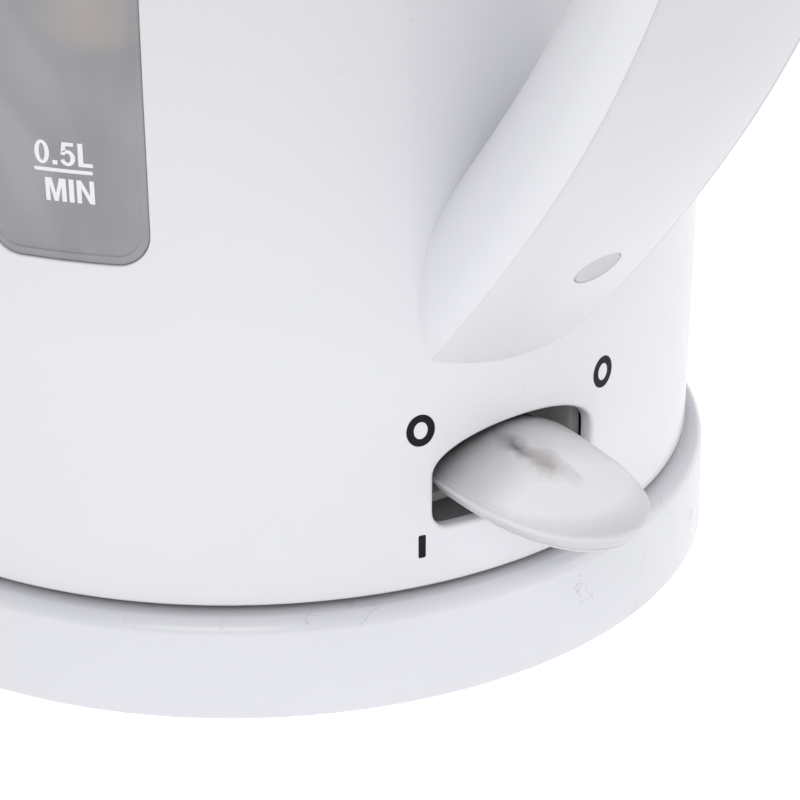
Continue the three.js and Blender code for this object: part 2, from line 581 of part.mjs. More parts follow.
/** The lever's plan: a straight neck and an oval tip, as [x, y] points once round. */
function leverOutline() {
  const { halfWidth, neck, tip, shoulder, roundness } = LEVER;
  const steps = 11;
  const side = Array.from({ length: steps + 1 }, (_, i) => {
    const share = Math.sin((Math.PI / 2 / steps) * i);
    return [shoulder + (tip - shoulder) * share, -halfWidth * Math.sqrt(1 - share ** roundness)];
  });
  const near = [[-7, -neck], [1, -neck], [8, -neck], [14, -halfWidth], ...side];
  const far = near.slice(0, -1).reverse().map(([x, y]) => [x, -y]);
  return [...near, ...far];
}

/** The dome's height above the lever's rim: a parabola along the lever, highest where it passes the slot. */
function leverDome(x) {
  const { rise, crest, front, back } = LEVER_DOME;
  const share = (x - crest) / (x > crest ? front : back);
  return rise * Math.max(0, 1 - share * share);
}

/** The lever about its pivot: a domed oval paddle, a hub with a bore and a groove for the lamp. */
function leverPaddle() {
  const { neck } = LEVER;
  const outline = leverOutline();
  const [, under] = LEVER_RIM[0];
  const [, rimTop] = LEVER_RIM[LEVER_RIM.length - 1];
  const domed = [...LEVER_DOME.rings, 0];
  const surface = (u, v, target) => {
    const row = Math.round(v * (LEVER_RIM.length + domed.length));
    const [x, y] = outline[Math.round(u * outline.length) % outline.length];
    const spine = THREE.MathUtils.clamp(x, 0, LEVER_DOME.spineEnd);
    const reach = Math.hypot(x - spine, y);
    const [inset, level] = row > 0 && row <= LEVER_RIM.length ? LEVER_RIM[row - 1] : [0, under];
    const onDome = row > LEVER_RIM.length;
    const share = onDome ? domed[row - LEVER_RIM.length - 1] : Math.sign(row) * (1 - inset / reach);
    const plan = spine + (x - spine) * share;
    const height = onDome ? rimTop + leverDome(plan) * (1 - share * share) : level;
    target.set(plan, y * share, height);
  };
  const paddle = solid(new ParametricGeometry(surface, outline.length, LEVER_RIM.length + domed.length));
  const { grooveEnd, grooveHalf, grooveTop } = LEVER_LAMP;
  const groove = block([HINGE.pin + 2.6, -grooveHalf, under - 1], [grooveEnd, grooveHalf, grooveTop]);
  return cut(join(paddle, crossPost(3.4, neck + 2, 0, 0)), crossPost(HINGE.pin + GAP, 30, 0, 0), groove);
}

function buildSwitch(jug) {
  addPart(jug, 'switch_frame', FROSTED, switchFrame());
  const [x, , z] = LEVER.pivot;
  addPart(jug, 'lever_pin', STEEL, crossPost(HINGE.pin, FRAME.inside + FRAME.wall + 1, 0, 0)).position.set(x, 0, z);

  const lever = new THREE.Group();
  lever.position.set(...LEVER.pivot);
  lever.rotation.y = THREE.MathUtils.degToRad(LEVER.tilt);
  addPart(lever, 'switch_lever', FROSTED, leverPaddle());
  const lamp = crossPost(LEVER_LAMP.radius, LEVER_LAMP.halfLength, 0, 0);
  addPart(lever, 'indicator_lamp', LAMP, lamp).position.set(LEVER_LAMP.x, 0, LEVER_LAMP.z);
  lever.children[1].rotation.z = Math.PI / 2;
  jug.add(lever);

  const rocker = new THREE.Group();
  rocker.position.set(...ROCKER.pivot);
  const { halfWidth } = ROCKER;
  addPart(rocker, 'trip_rocker', BLACK, join(
    crossPost(1.8, 15.5, 0, 0),
    block([-1.2, -halfWidth, -9], [1.2, halfWidth, 0]),
    block([-1.2, -halfWidth + 2, -9], [4, halfWidth - 2, -7]),
  ));
  jug.add(rocker);
}

// ---------------------------------------------------------------- handle, latch and button
function buildHandle(jug) {
  addPart(jug, 'handle_grip', WHITE, handleGrip());
  addPart(jug, 'handle_cover', WHITE, handleCover());
  const { distance, radius, depth } = PLUG;
  addPart(jug, 'screw_plug', WHITE, handleBore(distance, radius, -HANDLE.crown + 0.2, -HANDLE.crown + depth, MEDIUM)
    .subtract(handleBore(distance, SCREW.shank, -1.4, 4)));
  addPart(jug, 'handle_screw', STEEL, join(
    handleBore(distance, SCREW.shank, HANDLE.coverDepth + GAP, 17.5),
    handleBore(distance, SCREW.shank, 0.9, 6),
  ));

  const button = new THREE.Group();
  button.position.set(BUTTON.x, 0, 0);
  const cap = new THREE.Shape();
  const [length, wide, corner] = [BUTTON.halfLength, BUTTON.halfWidth, 4];
  cap.absarc(length - corner, -wide + corner, corner, -Math.PI / 2, 0, false);
  cap.absarc(length - corner, wide - corner, corner, 0, Math.PI / 2, false);
  cap.absarc(-length + corner, wide - corner, corner, Math.PI / 2, Math.PI, false);
  cap.absarc(-length + corner, -wide + corner, corner, Math.PI, 1.5 * Math.PI, false);
  const height = BUTTON.top - BUTTON.bottom;
  const plate = new THREE.ExtrudeGeometry(cap, { depth: height - 2, bevelSize: 1, bevelOffset: -1, bevelThickness: 1,
    bevelSegments: 2, curveSegments: 3 });
  addPart(button, 'release_button', WHITE, join(
    solid(plate.translate(0, 0, BUTTON.bottom + 1)),
    block([-BUTTON.stem, -BUTTON.stem, BUTTON.stemBottom], [BUTTON.stem, BUTTON.stem, BUTTON.bottom + 1]),
  ));
  jug.add(button);

  const coils = 3;
  const [springFloor, springTop] = [LATCH.top + GAP + 0.8, BUTTON.bottom - GAP - 0.5];
  const steps = 10 * coils;
  const helix = Array.from({ length: steps + 1 }, (_, i) => {
    const turn = (Math.PI * i) / 5;
    return [5.6 * Math.cos(turn), 5.6 * Math.sin(turn), springFloor + ((springTop - springFloor) * i) / steps];
  });
  addPart(jug, 'button_spring', STEEL, wire(helix, 0.45, steps, 4)).position.x = BUTTON.x;

  const latch = new THREE.BoxGeometry(LATCH.end - LATCH.tip, 2 * LATCH.halfWidth, LATCH.top - LATCH.bottom);
  addPart(jug, 'latch_bar', BLACK, solid(latch))
    .position.set((LATCH.end + LATCH.tip) / 2, 0, (LATCH.top + LATCH.bottom) / 2);
}

// ---------------------------------------------------------------- lid, hinge and spout filter
/** Heights of the lid's dome at a radius. */
function domeHeight(radius) {
  return LID.shoulder + LID.dome * (1 - (radius / LID.radius) ** 2);
}

/** The lid's outer shell: a thin dome with a skirt, cut straight at the hinge, with two knuckles. */
function lidShell() {
  const { radius, edge, shoulder, wall, chord } = LID;
  const profile = [[radius, edge], [radius, shoulder - 0.8], [radius - 0.8, shoulder]];
  const steps = 4;
  for (let i = 1; i <= steps; i += 1) profile.push([radius * (1 - i / steps), domeHeight(radius * (1 - i / steps))]);
  for (let i = steps; i >= 1; i -= 1) {
    const inner = (radius - wall) * (1 - i / steps);
    profile.push([inner, domeHeight(inner) - wall]);
  }
  profile.push([radius - wall, shoulder - wall], [radius - wall, edge], [radius, edge]);
  const behind = block([chord, -80, 150], [90, 80, 240]);
  const knuckles = [-1, 1].map((side) => {
    const [from, to] = [Math.min(side * 11, side * 16), Math.max(side * 11, side * 16)];
    const barrel = solid(new THREE.CylinderGeometry(HINGE.knuckle, HINGE.knuckle, to - from, SMALL)
      .translate(HINGE.x, (from + to) / 2, HINGE.z));
    return join(barrel, block([chord - 3, from, HINGE.z - 2.6], [HINGE.x, to, HINGE.z + 0.4]));
  });
  const wallAtChord = block([chord - 2.4, -35, edge + 1], [chord, 35, 202.4]);
  const pocket = block([chord - 3, -LATCH.halfWidth - 1, 202.9], [chord + 1, LATCH.halfWidth + 1, 212]);
  const shell = cut(turned(profile, RINGED), behind);
  return cut(join(shell, wallAtChord, ...knuckles), pocket,
    crossPost(HINGE.pin + GAP, 30, HINGE.x, HINGE.z));
}

function buildLid(jug) {
  const { insertRadius, chord } = LID;
  const lid = new THREE.Group();
  lid.position.set(HINGE.x, 0, HINGE.z);
  const aboutHinge = [-HINGE.x, 0, -HINGE.z];
  const behind = block([chord - 3, -80, 150], [90, 80, 240]);
  const insert = turned([[0, 187.5], [insertRadius - 2.5, 187.5], [insertRadius - 0.5, 189.5], [insertRadius - 0.5, 190.7],
    [insertRadius - 2.5, 190.7], [insertRadius - 2.5, 193], [insertRadius, 193], [insertRadius, 196.2], [0, 196.2]], RINGED);
  addPart(lid, 'lid_shell', WHITE, lidShell().translate(aboutHinge));
  addPart(lid, 'lid_insert', WHITE, cut(insert, behind).translate(aboutHinge));
  addPart(lid, 'lid_seal', SILICONE, cut(ring(insertRadius - 2.2, insertRadius + 1.8, 191, 192.7, RINGED), behind)
    .translate(aboutHinge));
  jug.add(lid);

  const inside = wallRadius(RIM) - WALL - 0.5;
  const plate = post(inside, LEDGE.top + GAP, 199.3, 0, 0, RINGED);
  const keep = block([chord + 0.8, -40, 190], [80, 40, 210]);
  const ears = [-1, 1].map((side) => {
    const [from, to] = [Math.min(side * 16.6, side * 19.6), Math.max(side * 16.6, side * 19.6)];
    const eye = solid(new THREE.CylinderGeometry(3.2, 3.2, to - from, SMALL).translate(HINGE.x, (from + to) / 2, HINGE.z));
    return join(eye, block([HINGE.x - 3.2, from, LEDGE.top + GAP + 0.5], [HINGE.x + 3.2, to, HINGE.z]));
  });
  addPart(jug, 'hinge_block', WHITE, cut(join(plate.intersect(keep), ...ears),
    crossPost(HINGE.pin + GAP, 30, HINGE.x, HINGE.z),
    crossPost(HINGE.knuckle + 0.6, 16.4, HINGE.x, HINGE.z)));
  const [pinFrom, pinTo] = HINGE.pinSpan;
  for (const side of [-1, 1]) {
    addPart(jug, `lid_pin_${side < 0 ? 1 : 2}`, STEEL, crossPost(HINGE.pin, (pinTo - pinFrom) / 2, 0, 0))
      .position.set(HINGE.x, side * (pinFrom + pinTo) / 2, HINGE.z);
  }
}

function buildFilter(jug) {
  const { x, halfWidth, bottom, top, thick, bar } = FILTER;
  const outline = roundedOutline(halfWidth, bottom, top, 4);
  const opening = roundedOutline(halfWidth - bar, bottom + bar, top - bar, 2);
  const filter = new THREE.Group();
  filter.position.x = x;
  const rib = block([0, -0.8, bottom + 1], [thick, 0.8, top - 1]);
  addPart(filter, 'filter_frame', WHITE, join(
    pushedAlongX(outline, 0, thick).subtract(pushedAlongX(opening, -5, 10)), rib));
  for (const side of [-1, 1]) {
    const [from, to] = side < 0 ? [-halfWidth + bar + 0.8, -0.8 - GAP] : [0.8 + GAP, halfWidth - bar - 0.8];
    addPart(filter, `filter_mesh_${side < 0 ? 1 : 2}`, STEEL,
      block([0.9, from, bottom + bar + 0.8], [1.4, to, top - bar - 0.8]));
  }
  jug.add(filter);
}

function buildJug() {
  const jug = new THREE.Group();
  addPart(jug, 'jug_body', WHITE, jugBody());
  addPart(jug, 'window_front', SMOKED, windowPane(-1));
  addPart(jug, 'window_back', SMOKED, windowPane(1));
  addPart(jug, 'jug_cover', WHITE, jugCover());
  for (const [x, y, number] of around(SCREW.count, JUG_SCREW_REACH, 60)) {
    addPart(jug, `cover_screw_${number}`, STEEL, panScrew(9)).position.set(x, y, JUG_COVER.bottom - GAP);
  }
  buildHeater(jug);
  buildControl(jug);
  buildSwitch(jug);
  buildHandle(jug);
  buildLid(jug);
  buildFilter(jug);
  return jug;
}

const kettle = new THREE.Group();
kettle.add(buildBase(), buildSwivelCap(), buildJug());

export default kettle;
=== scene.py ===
"""Electric kettle: the fine surfaces, finishes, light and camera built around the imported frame.

Lengths inside the classes are millimetres in the frame's own axes and become metres when a mesh is made:
+Z is up the jug's axis, +X runs to the handle and the switch lever, -X to the spout.
"""
import json
import logging
import math
from dataclasses import dataclass, field
from enum import Enum
from typing import Callable

import bmesh
import bpy
import numpy as np
from mathutils import Matrix, Vector


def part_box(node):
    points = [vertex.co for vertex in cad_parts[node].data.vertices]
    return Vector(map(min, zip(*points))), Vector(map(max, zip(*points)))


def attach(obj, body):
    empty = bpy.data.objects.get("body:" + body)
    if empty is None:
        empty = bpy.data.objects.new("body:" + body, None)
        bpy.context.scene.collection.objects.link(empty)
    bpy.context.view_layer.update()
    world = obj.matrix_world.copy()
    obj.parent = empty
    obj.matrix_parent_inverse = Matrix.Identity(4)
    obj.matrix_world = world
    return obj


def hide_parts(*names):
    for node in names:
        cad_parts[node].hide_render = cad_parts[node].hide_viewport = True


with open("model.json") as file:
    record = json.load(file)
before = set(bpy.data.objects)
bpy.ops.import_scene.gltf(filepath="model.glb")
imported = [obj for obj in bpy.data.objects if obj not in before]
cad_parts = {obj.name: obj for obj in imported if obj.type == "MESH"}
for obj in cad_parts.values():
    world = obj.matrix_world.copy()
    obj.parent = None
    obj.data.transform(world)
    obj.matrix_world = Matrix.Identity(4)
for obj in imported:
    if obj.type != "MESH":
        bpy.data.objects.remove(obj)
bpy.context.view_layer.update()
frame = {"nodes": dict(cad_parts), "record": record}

LOG = logging.getLogger("kettle")
MM = 0.001
WELD_STEPS = 2000  # steps to a millimetre of the grid that points are welded on
SEAM_SPAN = 100.0  # a cell wider than this closes the ring, so no hole ever takes it
Array = np.ndarray
Patch = tuple[Array, Array]
Mapper = Callable[[Array, Array, Array], Array]


# ------------------------------------------------------------------------------------------ mesh core
def grid(rows: Array, ring: bool = False, loop: bool = False) -> Patch:
    """Quads over a grid of points: each cell joins four neighbours, and a ring or loop closes on itself.

    Args:
        rows: Points as an array of shape (rows, columns, 3), in millimetres.
        ring: Whether the last column joins the first.
        loop: Whether the last row joins the first.

    Returns:
        The points as a flat array and the quads as index rows.
    """
    high, wide = rows.shape[:2]
    i = np.arange(high if loop else high - 1)[:, None]
    j = np.arange(wide if ring else wide - 1)[None, :]
    right, above = (j + 1) % wide, (i + 1) % high
    cells = np.stack(np.broadcast_arrays(i * wide + j, i * wide + right, above * wide + right, above * wide + j), -1)
    return rows.reshape(-1, 3), cells.reshape(-1, 4)


def joined(*patches: Patch) -> Patch:
    """Several patches as one, with the quads of each renumbered after the last."""
    starts = np.cumsum([0] + [len(points) for points, _ in patches[:-1]])
    points = np.concatenate([points for points, _ in patches])
    quads = np.concatenate([cells + start for (_, cells), start in zip(patches, starts)])
    return points, quads


def capped(rows: Array) -> Array:
    """The same rows with the first and last repeated as one point, the mean of the row, to close both ends."""
    first = np.broadcast_to(rows[0].mean(0), rows[0].shape)[None]
    last = np.broadcast_to(rows[-1].mean(0), rows[-1].shape)[None]
    return np.concatenate([first, rows, last])


def welded_mesh(name: str, patch: Patch, crease: float) -> bpy.types.Mesh:
    """A mesh whose coincident points are one, whose collapsed cells are triangles and whose faces point out.

    Args:
        name: The mesh's name.
        patch: Points in millimetres and quads.
        crease: The angle in degrees past which an edge is sharp.

    Returns:
        The finished mesh, in metres.
    """
    points, quads = patch
    keys = np.round(points * WELD_STEPS).astype(np.int64)
    _, first, inverse = np.unique(keys, axis=0, return_index=True, return_inverse=True)
    quads = inverse.reshape(-1)[quads]
    same = np.stack([quads[:, k] == quads[:, (k + 1) % 4] for k in range(4)], 1)
    whole = quads[same.sum(1) == 0]
    single = same.sum(1) == 1
    corners = [np.delete(quads[single & same[:, k]], k, axis=1) for k in range(4)]
    faces = whole.tolist() + np.concatenate(corners).tolist()
    mesh = bpy.data.meshes.new(name)
    mesh.from_pydata(points[first] * MM, [], faces)
    mesh.validate()
    shape = bmesh.new()
    shape.from_mesh(mesh)
    bmesh.ops.recalc_face_normals(shape, faces=shape.faces)
    shape.to_mesh(mesh)
    shape.free()
    mesh.polygons.foreach_set("use_smooth", np.ones(len(mesh.polygons), bool))
    mesh.set_sharp_from_angle(angle=math.radians(crease))
    return mesh


def centre_of(node: str) -> tuple[float, float]:
    """The middle of a frame node's box seen from above, in millimetres."""
    low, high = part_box(node)
    return (low.x + high.x) / 2 / MM, (low.y + high.y) / 2 / MM


@dataclass
class Rider:
    """A body of the frame together with the finish and the record's slot that its pieces take."""

    body: str
    finish: bpy.types.Material
    slot: str

    def add(self, name: str, patch: Patch, replaced: tuple[str, ...] = (), crease: float = 32) -> bpy.types.Object:
        """Makes one piece from a patch, dresses it and lets it ride on the body.

        Args:
            name: The piece's name.
            patch: Points in millimetres and quads.
            replaced: The frame's nodes that the piece stands for.
            crease: The angle in degrees past which an edge is sharp.

        Returns:
            The new object.
        """
        mesh = welded_mesh(name, patch, crease)
        return self.adopt(bpy.data.objects.new(name, mesh), replaced)

    def adopt(self, piece: bpy.types.Object, replaced: tuple[str, ...] = ()) -> bpy.types.Object:
        """Dresses a ready object, links it to the scene and lets it ride on the body."""
        if piece.name not in bpy.context.scene.collection.objects:
            bpy.context.scene.collection.objects.link(piece)
        piece.data.materials.clear()
        piece.data.materials.append(self.finish)
        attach(piece, self.body)
        if replaced:
            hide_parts(*replaced)
        LOG.info("%s: %d faces on %s", piece.name, len(piece.data.polygons), self.body)
        return piece


# ------------------------------------------------------------------------------------------ curves
def arc(centre: tuple[float, float], radius: float, start: float, stop: float, count: int = 8) -> Array:
    """Points of a circular arc: centre plus radius times the cosine and sine of evenly spaced degrees."""
    angle = np.radians(np.linspace(start, stop, count))
    return np.stack([centre[0] + radius * np.cos(angle), centre[1] + radius * np.sin(angle)], 1)


def path(*pieces: Array | tuple[float, float]) -> Array:
    """One outline from points and arcs, in order."""
    return np.concatenate([np.atleast_2d(np.asarray(piece, float)) for piece in pieces])


def evenly(outline: Array, count: int, closed: bool = True) -> Array:
    """The outline resampled at even steps of its own length, which linear interpolation places.

    Args:
        outline: Points along the outline.
        count: How many points to give back.
        closed: Whether the last point joins the first.

    Returns:
        The resampled points.
    """
    line = np.concatenate([outline, outline[:1]]) if closed else outline
    run = np.concatenate([[0], np.cumsum(np.linalg.norm(np.diff(line, axis=0), axis=1))])
    at = np.linspace(0, run[-1], count, endpoint=not closed)
    return np.stack([np.interp(at, run, line[:, k]) for k in range(line.shape[1])], 1)


def rounded_box(half: float, bottom: float, top: float, corner: float, count: int = 480) -> Array:
    """A rectangle with round corners about across = 0: four quarter circles joined by straight sides."""
    right, left, low, high = half - corner, -half + corner, bottom + corner, top - corner
    return evenly(path(arc((right, low), corner, -90, 0, 24), arc((right, high), corner, 0, 90, 24),
                       arc((left, high), corner, 90, 180, 24), arc((left, low), corner, 180, 270, 24)), count)


def turned(profile: Array, count: int = 192, loop: bool = False, at: tuple[float, float] = (0, 0)) -> Patch:
    """A surface of revolution: each profile point [radius, height] swings round the vertical through a place.

    Args:
        profile: The profile's points; it runs from axis to axis, or closes on itself.
        count: How many columns go round.
        loop: Whether the profile closes on itself.
        at: The place of the axis.

    Returns:
        The patch.
    """
    turn = np.linspace(0, 2 * math.pi, count, endpoint=False)
    radius, height = profile[:, :1], profile[:, 1:2]
    rows = np.stack([at[0] + radius * np.cos(turn), at[1] + radius * np.sin(turn),
                     np.broadcast_to(height, (len(profile), count))], -1)
    return grid(rows, ring=True, loop=loop)


def softened(profile: Array, radius: float, steps: int = 4, loop: bool = True) -> Array:
    """A profile with each corner cut round: a quadratic Bezier curve runs from one side of it to the other.

    Args:
        profile: The corner points.
        radius: How far from the corner the curve starts, at most a third of the side.
        steps: How many points each corner gets.
        loop: Whether the profile closes on itself; otherwise its ends stay.

    Returns:
        The rounded profile.
    """
    before, after = np.roll(profile, 1, 0), np.roll(profile, -1, 0)
    into, out = before - profile, after - profile
    reach_in = np.minimum(radius, np.linalg.norm(into, axis=1, keepdims=True) / 3)
    reach_out = np.minimum(radius, np.linalg.norm(out, axis=1, keepdims=True) / 3)
    start = profile + into / np.maximum(np.linalg.norm(into, axis=1, keepdims=True), 1e-9) * reach_in
    stop = profile + out / np.maximum(np.linalg.norm(out, axis=1, keepdims=True), 1e-9) * reach_out
    t = np.linspace(0, 1, steps)[None, :, None]
    curve = (1 - t) ** 2 * start[:, None] + 2 * t * (1 - t) * profile[:, None] + t**2 * stop[:, None]
    if loop:
        return curve.reshape(-1, 2)
    return np.concatenate([profile[:1], curve[1:-1].reshape(-1, 2), profile[-1:]])


def lofted(outline: Array, rows: Array, middle: tuple[float, float, float]) -> Patch:
    """A closed plate: the outline shrinks towards a straight middle while its height follows a list.

    Args:
        outline: The plan outline, as [x, y] points.
        rows: [inset, height] pairs, from the middle of the underside round the edge to the middle of the top. The
            inset is the distance that the outline has moved inwards.
        middle: The middle line's lowest and highest x, and its y.

    Returns:
        The patch.
    """
    low, high, level = middle
    hub = np.stack([np.clip(outline[:, 0], low, high), np.full(len(outline), level)], 1)
    reach = np.linalg.norm(outline - hub, axis=1, keepdims=True)
    share = np.clip(1 - rows[:, 0][:, None, None] / reach[None], 0, 1)
    plan = hub[None] + (outline - hub)[None] * share
    height = np.broadcast_to(rows[:, 1][:, None, None], plan.shape[:2] + (1,))
    return grid(np.concatenate([plan, height], -1), ring=True)


# ------------------------------------------------------------------------------------------ sheets with holes
@dataclass
class Hole:
    """An opening or a pocket in a sheet: a dense outline about a centre, in the sheet's own [u, v]."""

    centre: tuple[float, float]
    room: tuple[float, float]
    outline: Array
    lip: float
    depth: float
    through: bool = True

    def bounds(self) -> tuple[float, float, float, float]:
        """Lowest and highest u, then lowest and highest v, of the patch that the hole takes."""
        (u, v), (wide, high) = self.centre, self.room
        return u - wide, u + wide, v - high, v + high

    def rim(self, u_lines: Array, v_lines: Array) -> Array:
        """The sheet's own grid points along the patch's border, once round."""
        low_u, high_u, low_v, high_v = self.bounds()
        u = u_lines[(u_lines > low_u - 1e-6) & (u_lines < high_u + 1e-6)]
        v = v_lines[(v_lines > low_v - 1e-6) & (v_lines < high_v + 1e-6)]
        return np.concatenate([
            np.stack([u, np.full(len(u), v[0])], 1)[:-1], np.stack([np.full(len(v), u[-1]), v], 1)[:-1],
            np.stack([u[::-1], np.full(len(u), v[-1])], 1)[:-1], np.stack([np.full(len(v), u[0]), v[::-1]], 1)[:-1]])

    @staticmethod
    def read_round(wanted: Array, angle: Array, values: Array) -> Array:
        """Values known at rising angles, read at the wanted angles by straight interpolation round the circle."""
        return np.stack([np.interp(wanted, angle, values[:, k], period=2 * math.pi) for k in (0, 1)], 1)

    def rows(self, u_lines: Array, v_lines: Array) -> tuple[Array, Array]:
        """Rows from the border to the outline, over a round lip and down the hole's wall.

        Border points are matched to outline points at the same angle once both are scaled to a square. Between them
        the rows are straight blends; the lip is a quarter circle.

        Args:
            u_lines: The sheet's grid lines across.
            v_lines: The sheet's grid lines along.

        Returns:
            The [u, v] points of every row, and each row's depth.
        """
        border = self.rim(u_lines, v_lines) - np.asarray(self.centre)
        half = np.abs(self.outline).max(0)
        angle = np.arctan2(self.outline[:, 1] / half[1], self.outline[:, 0] / half[0])
        order = np.argsort(angle)
        wanted = np.arctan2(border[:, 1] / self.room[1], border[:, 0] / self.room[0])
        ahead = np.roll(self.outline, -1, 0) - np.roll(self.outline, 1, 0)
        normal = np.stack([ahead[:, 1], -ahead[:, 0]], 1) / np.linalg.norm(ahead, axis=1, keepdims=True)
        edge, out = (self.read_round(wanted, angle[order], values[order]) for values in (self.outline, normal))
        out /= np.linalg.norm(out, axis=1, keepdims=True)
        outer = edge + out * self.lip
        plan = [outer + (border - outer) * share for share in (1, 0.8, 0.6, 0.42, 0.27, 0.15, 0.06, 0)]
        depths = [0.0] * len(plan)
        for turn in np.radians([22.5, 45, 67.5, 90]):
            plan.append(edge + out * self.lip * (1 - math.sin(turn)))
            depths.append(self.lip * (1 - math.cos(turn)))
        if self.through:
            back = min(0.3, self.lip)
            for turn in np.radians([0, 45, 90]):
                plan.append(edge + out * back * (1 - math.cos(turn)))
                depths.append(self.depth - back * (1 - math.sin(turn)))
            outer = edge + out * back
            for share in (0.06, 0.15, 0.27, 0.42, 0.6, 0.8, 1):
                plan.append(outer + (border - outer) * share)
                depths.append(self.depth)
        else:
            for share in (1, 0.98, 0.6, 0):
                plan.append(edge * share)
                depths.append(self.depth if share < 1 else self.depth - 0.3)
        return np.stack(plan) + np.asarray(self.centre), np.asarray(depths)


@dataclass
class Sheet:
    """A surface over straight grid lines u and v, mapped into space, with conforming holes."""

    u_lines: Array
    v_lines: Array
    mapper: Mapper
    holes: list[Hole] = field(default_factory=list)

    def face(self, depth: float = 0, ring: bool = False) -> Patch:
        """The sheet at one depth, without the cells that the holes take.

        Args:
            depth: How far the sheet lies below its outer face.
            ring: Whether the last u line joins the first.

        Returns:
            The patch.
        """
        u, v = np.meshgrid(self.u_lines, self.v_lines)
        points, cells = grid(self.mapper(u, v, np.full(u.shape, depth)), ring=ring)
        centre = np.stack([u.reshape(-1)[cells].mean(1), v.reshape(-1)[cells].mean(1)], 1)
        wide = u.reshape(-1)[cells].max(1) - u.reshape(-1)[cells].min(1) > SEAM_SPAN
        keep = np.ones(len(cells), bool)
        for hole in self.holes:
            low_u, high_u, low_v, high_v = hole.bounds()
            across = (centre[:, 0] > low_u) & (centre[:, 0] < high_u)
            along = (centre[:, 1] > low_v) & (centre[:, 1] < high_v)
            keep &= ~(across & along) | wide
        return points, cells[keep]

    def hole_patches(self) -> list[Patch]:
        """The patch round each hole, from its border over the lip and down the wall."""
        patches = []
        for hole in self.holes:
            plan, depth = hole.rows(self.u_lines, self.v_lines)
            depths = np.broadcast_to(depth[:, None], plan.shape[:2])
            patches.append(grid(self.mapper(plan[..., 0], plan[..., 1], depths), ring=True))
        return patches


def lines(*stretches: tuple[float, float, int], last: bool = True) -> Array:
    """Grid lines: each stretch (from, to, cells) is evenly divided, and stretches follow one another."""
    parts = [np.linspace(start, stop, cells, endpoint=False) for start, stop, cells in stretches]
    return np.concatenate(parts + ([[stretches[-1][1]]] if last else []))


# ------------------------------------------------------------------------------------------ shader tools
class Nodes:
    """A thin builder over one node tree: adds nodes by type and links sockets by name."""

    def __init__(self, tree: bpy.types.NodeTree) -> None:
        """Keeps the tree that nodes are added to."""
        self.tree = tree

    def add(self, kind: str, **values: object) -> bpy.types.Node:
        """Adds a node and sets its properties; names with a capital letter set input sockets instead.

        Args:
            kind: The node's type.
            values: Property or socket names with their values, or an output socket to link.

        Returns:
            The node.
        """
        node = self.tree.nodes.new(kind)
        for key, value in values.items():
            if key[0].isupper():
                self.put(node, key.replace("_", " "), value)
            else:
                setattr(node, key, value)
        return node

    def put(self, node: bpy.types.Node, socket: str | int, value: object) -> None:
        """Sets an input socket to a value, or links an output socket to it."""
        if isinstance(value, bpy.types.NodeSocket):
            self.tree.links.new(value, node.inputs[socket])
        else:
            node.inputs[socket].default_value = value

    def math(self, how: str, first: object, second: object = 0.0, clamp: bool = False) -> bpy.types.NodeSocket:
        """The result of a Math node."""
        node = self.add("ShaderNodeMath", operation=how, use_clamp=clamp)
        self.put(node, 0, first)
        self.put(node, 1, second)
        return node.outputs[0]

    def mix(self, share: object, first: object, second: object, how: str = "MIX") -> bpy.types.NodeSocket:
        """The result of a colour Mix node."""
        node = self.add("ShaderNodeMix", data_type="RGBA", blend_type=how)
        self.put(node, 0, share)
        self.put(node, 6, first)
        self.put(node, 7, second)
        return node.outputs[2]

    def spread(self, value: object, low: float, high: float, to_low: float = 0.0, to_high: float = 1.0
               ) -> bpy.types.NodeSocket:
        """The result of a clamped Map Range node."""
        node = self.add("ShaderNodeMapRange")
        for socket, number in zip(range(5), (value, low, high, to_low, to_high)):
            self.put(node, socket, number)
        return node.outputs[0]

    def noise(self, place: object, scale: object, detail: float = 2.0, distortion: float = 0.0
              ) -> bpy.types.NodeSocket:
        """The value of a Noise texture."""
        return self.add("ShaderNodeTexNoise", Vector=place, Scale=scale, Detail=detail,
                        Distortion=distortion).outputs[0]


def new_group(name: str, inputs: dict[str, float | tuple], outputs: dict[str, str]) -> tuple[Nodes, dict, dict]:
    """A shader node group with named sockets.

    Args:
        name: The group's name.
        inputs: Input names with their default values; a tuple of four makes a colour, None a vector.
        outputs: Output names with their socket types.

    Returns:
        The builder, the group's input sockets by name, and its output sockets by name.
    """
    tree = bpy.data.node_groups.new(name, "ShaderNodeTree")
    kinds = {type(None): "NodeSocketVector", tuple: "NodeSocketColor"}
    for key, value in inputs.items():
        kind = kinds.get(type(value), "NodeSocketFloat")
        socket = tree.interface.new_socket(name=key, in_out="INPUT", socket_type=kind)
        if value is not None:
            socket.default_value = value
    for key, kind in outputs.items():
        tree.interface.new_socket(name=key, in_out="OUTPUT", socket_type=kind)
    nodes = Nodes(tree)
    entry, leave = nodes.add("NodeGroupInput"), nodes.add("NodeGroupOutput")
    return nodes, {key: entry.outputs[key] for key in inputs}, {key: leave.inputs[key] for key in outputs}


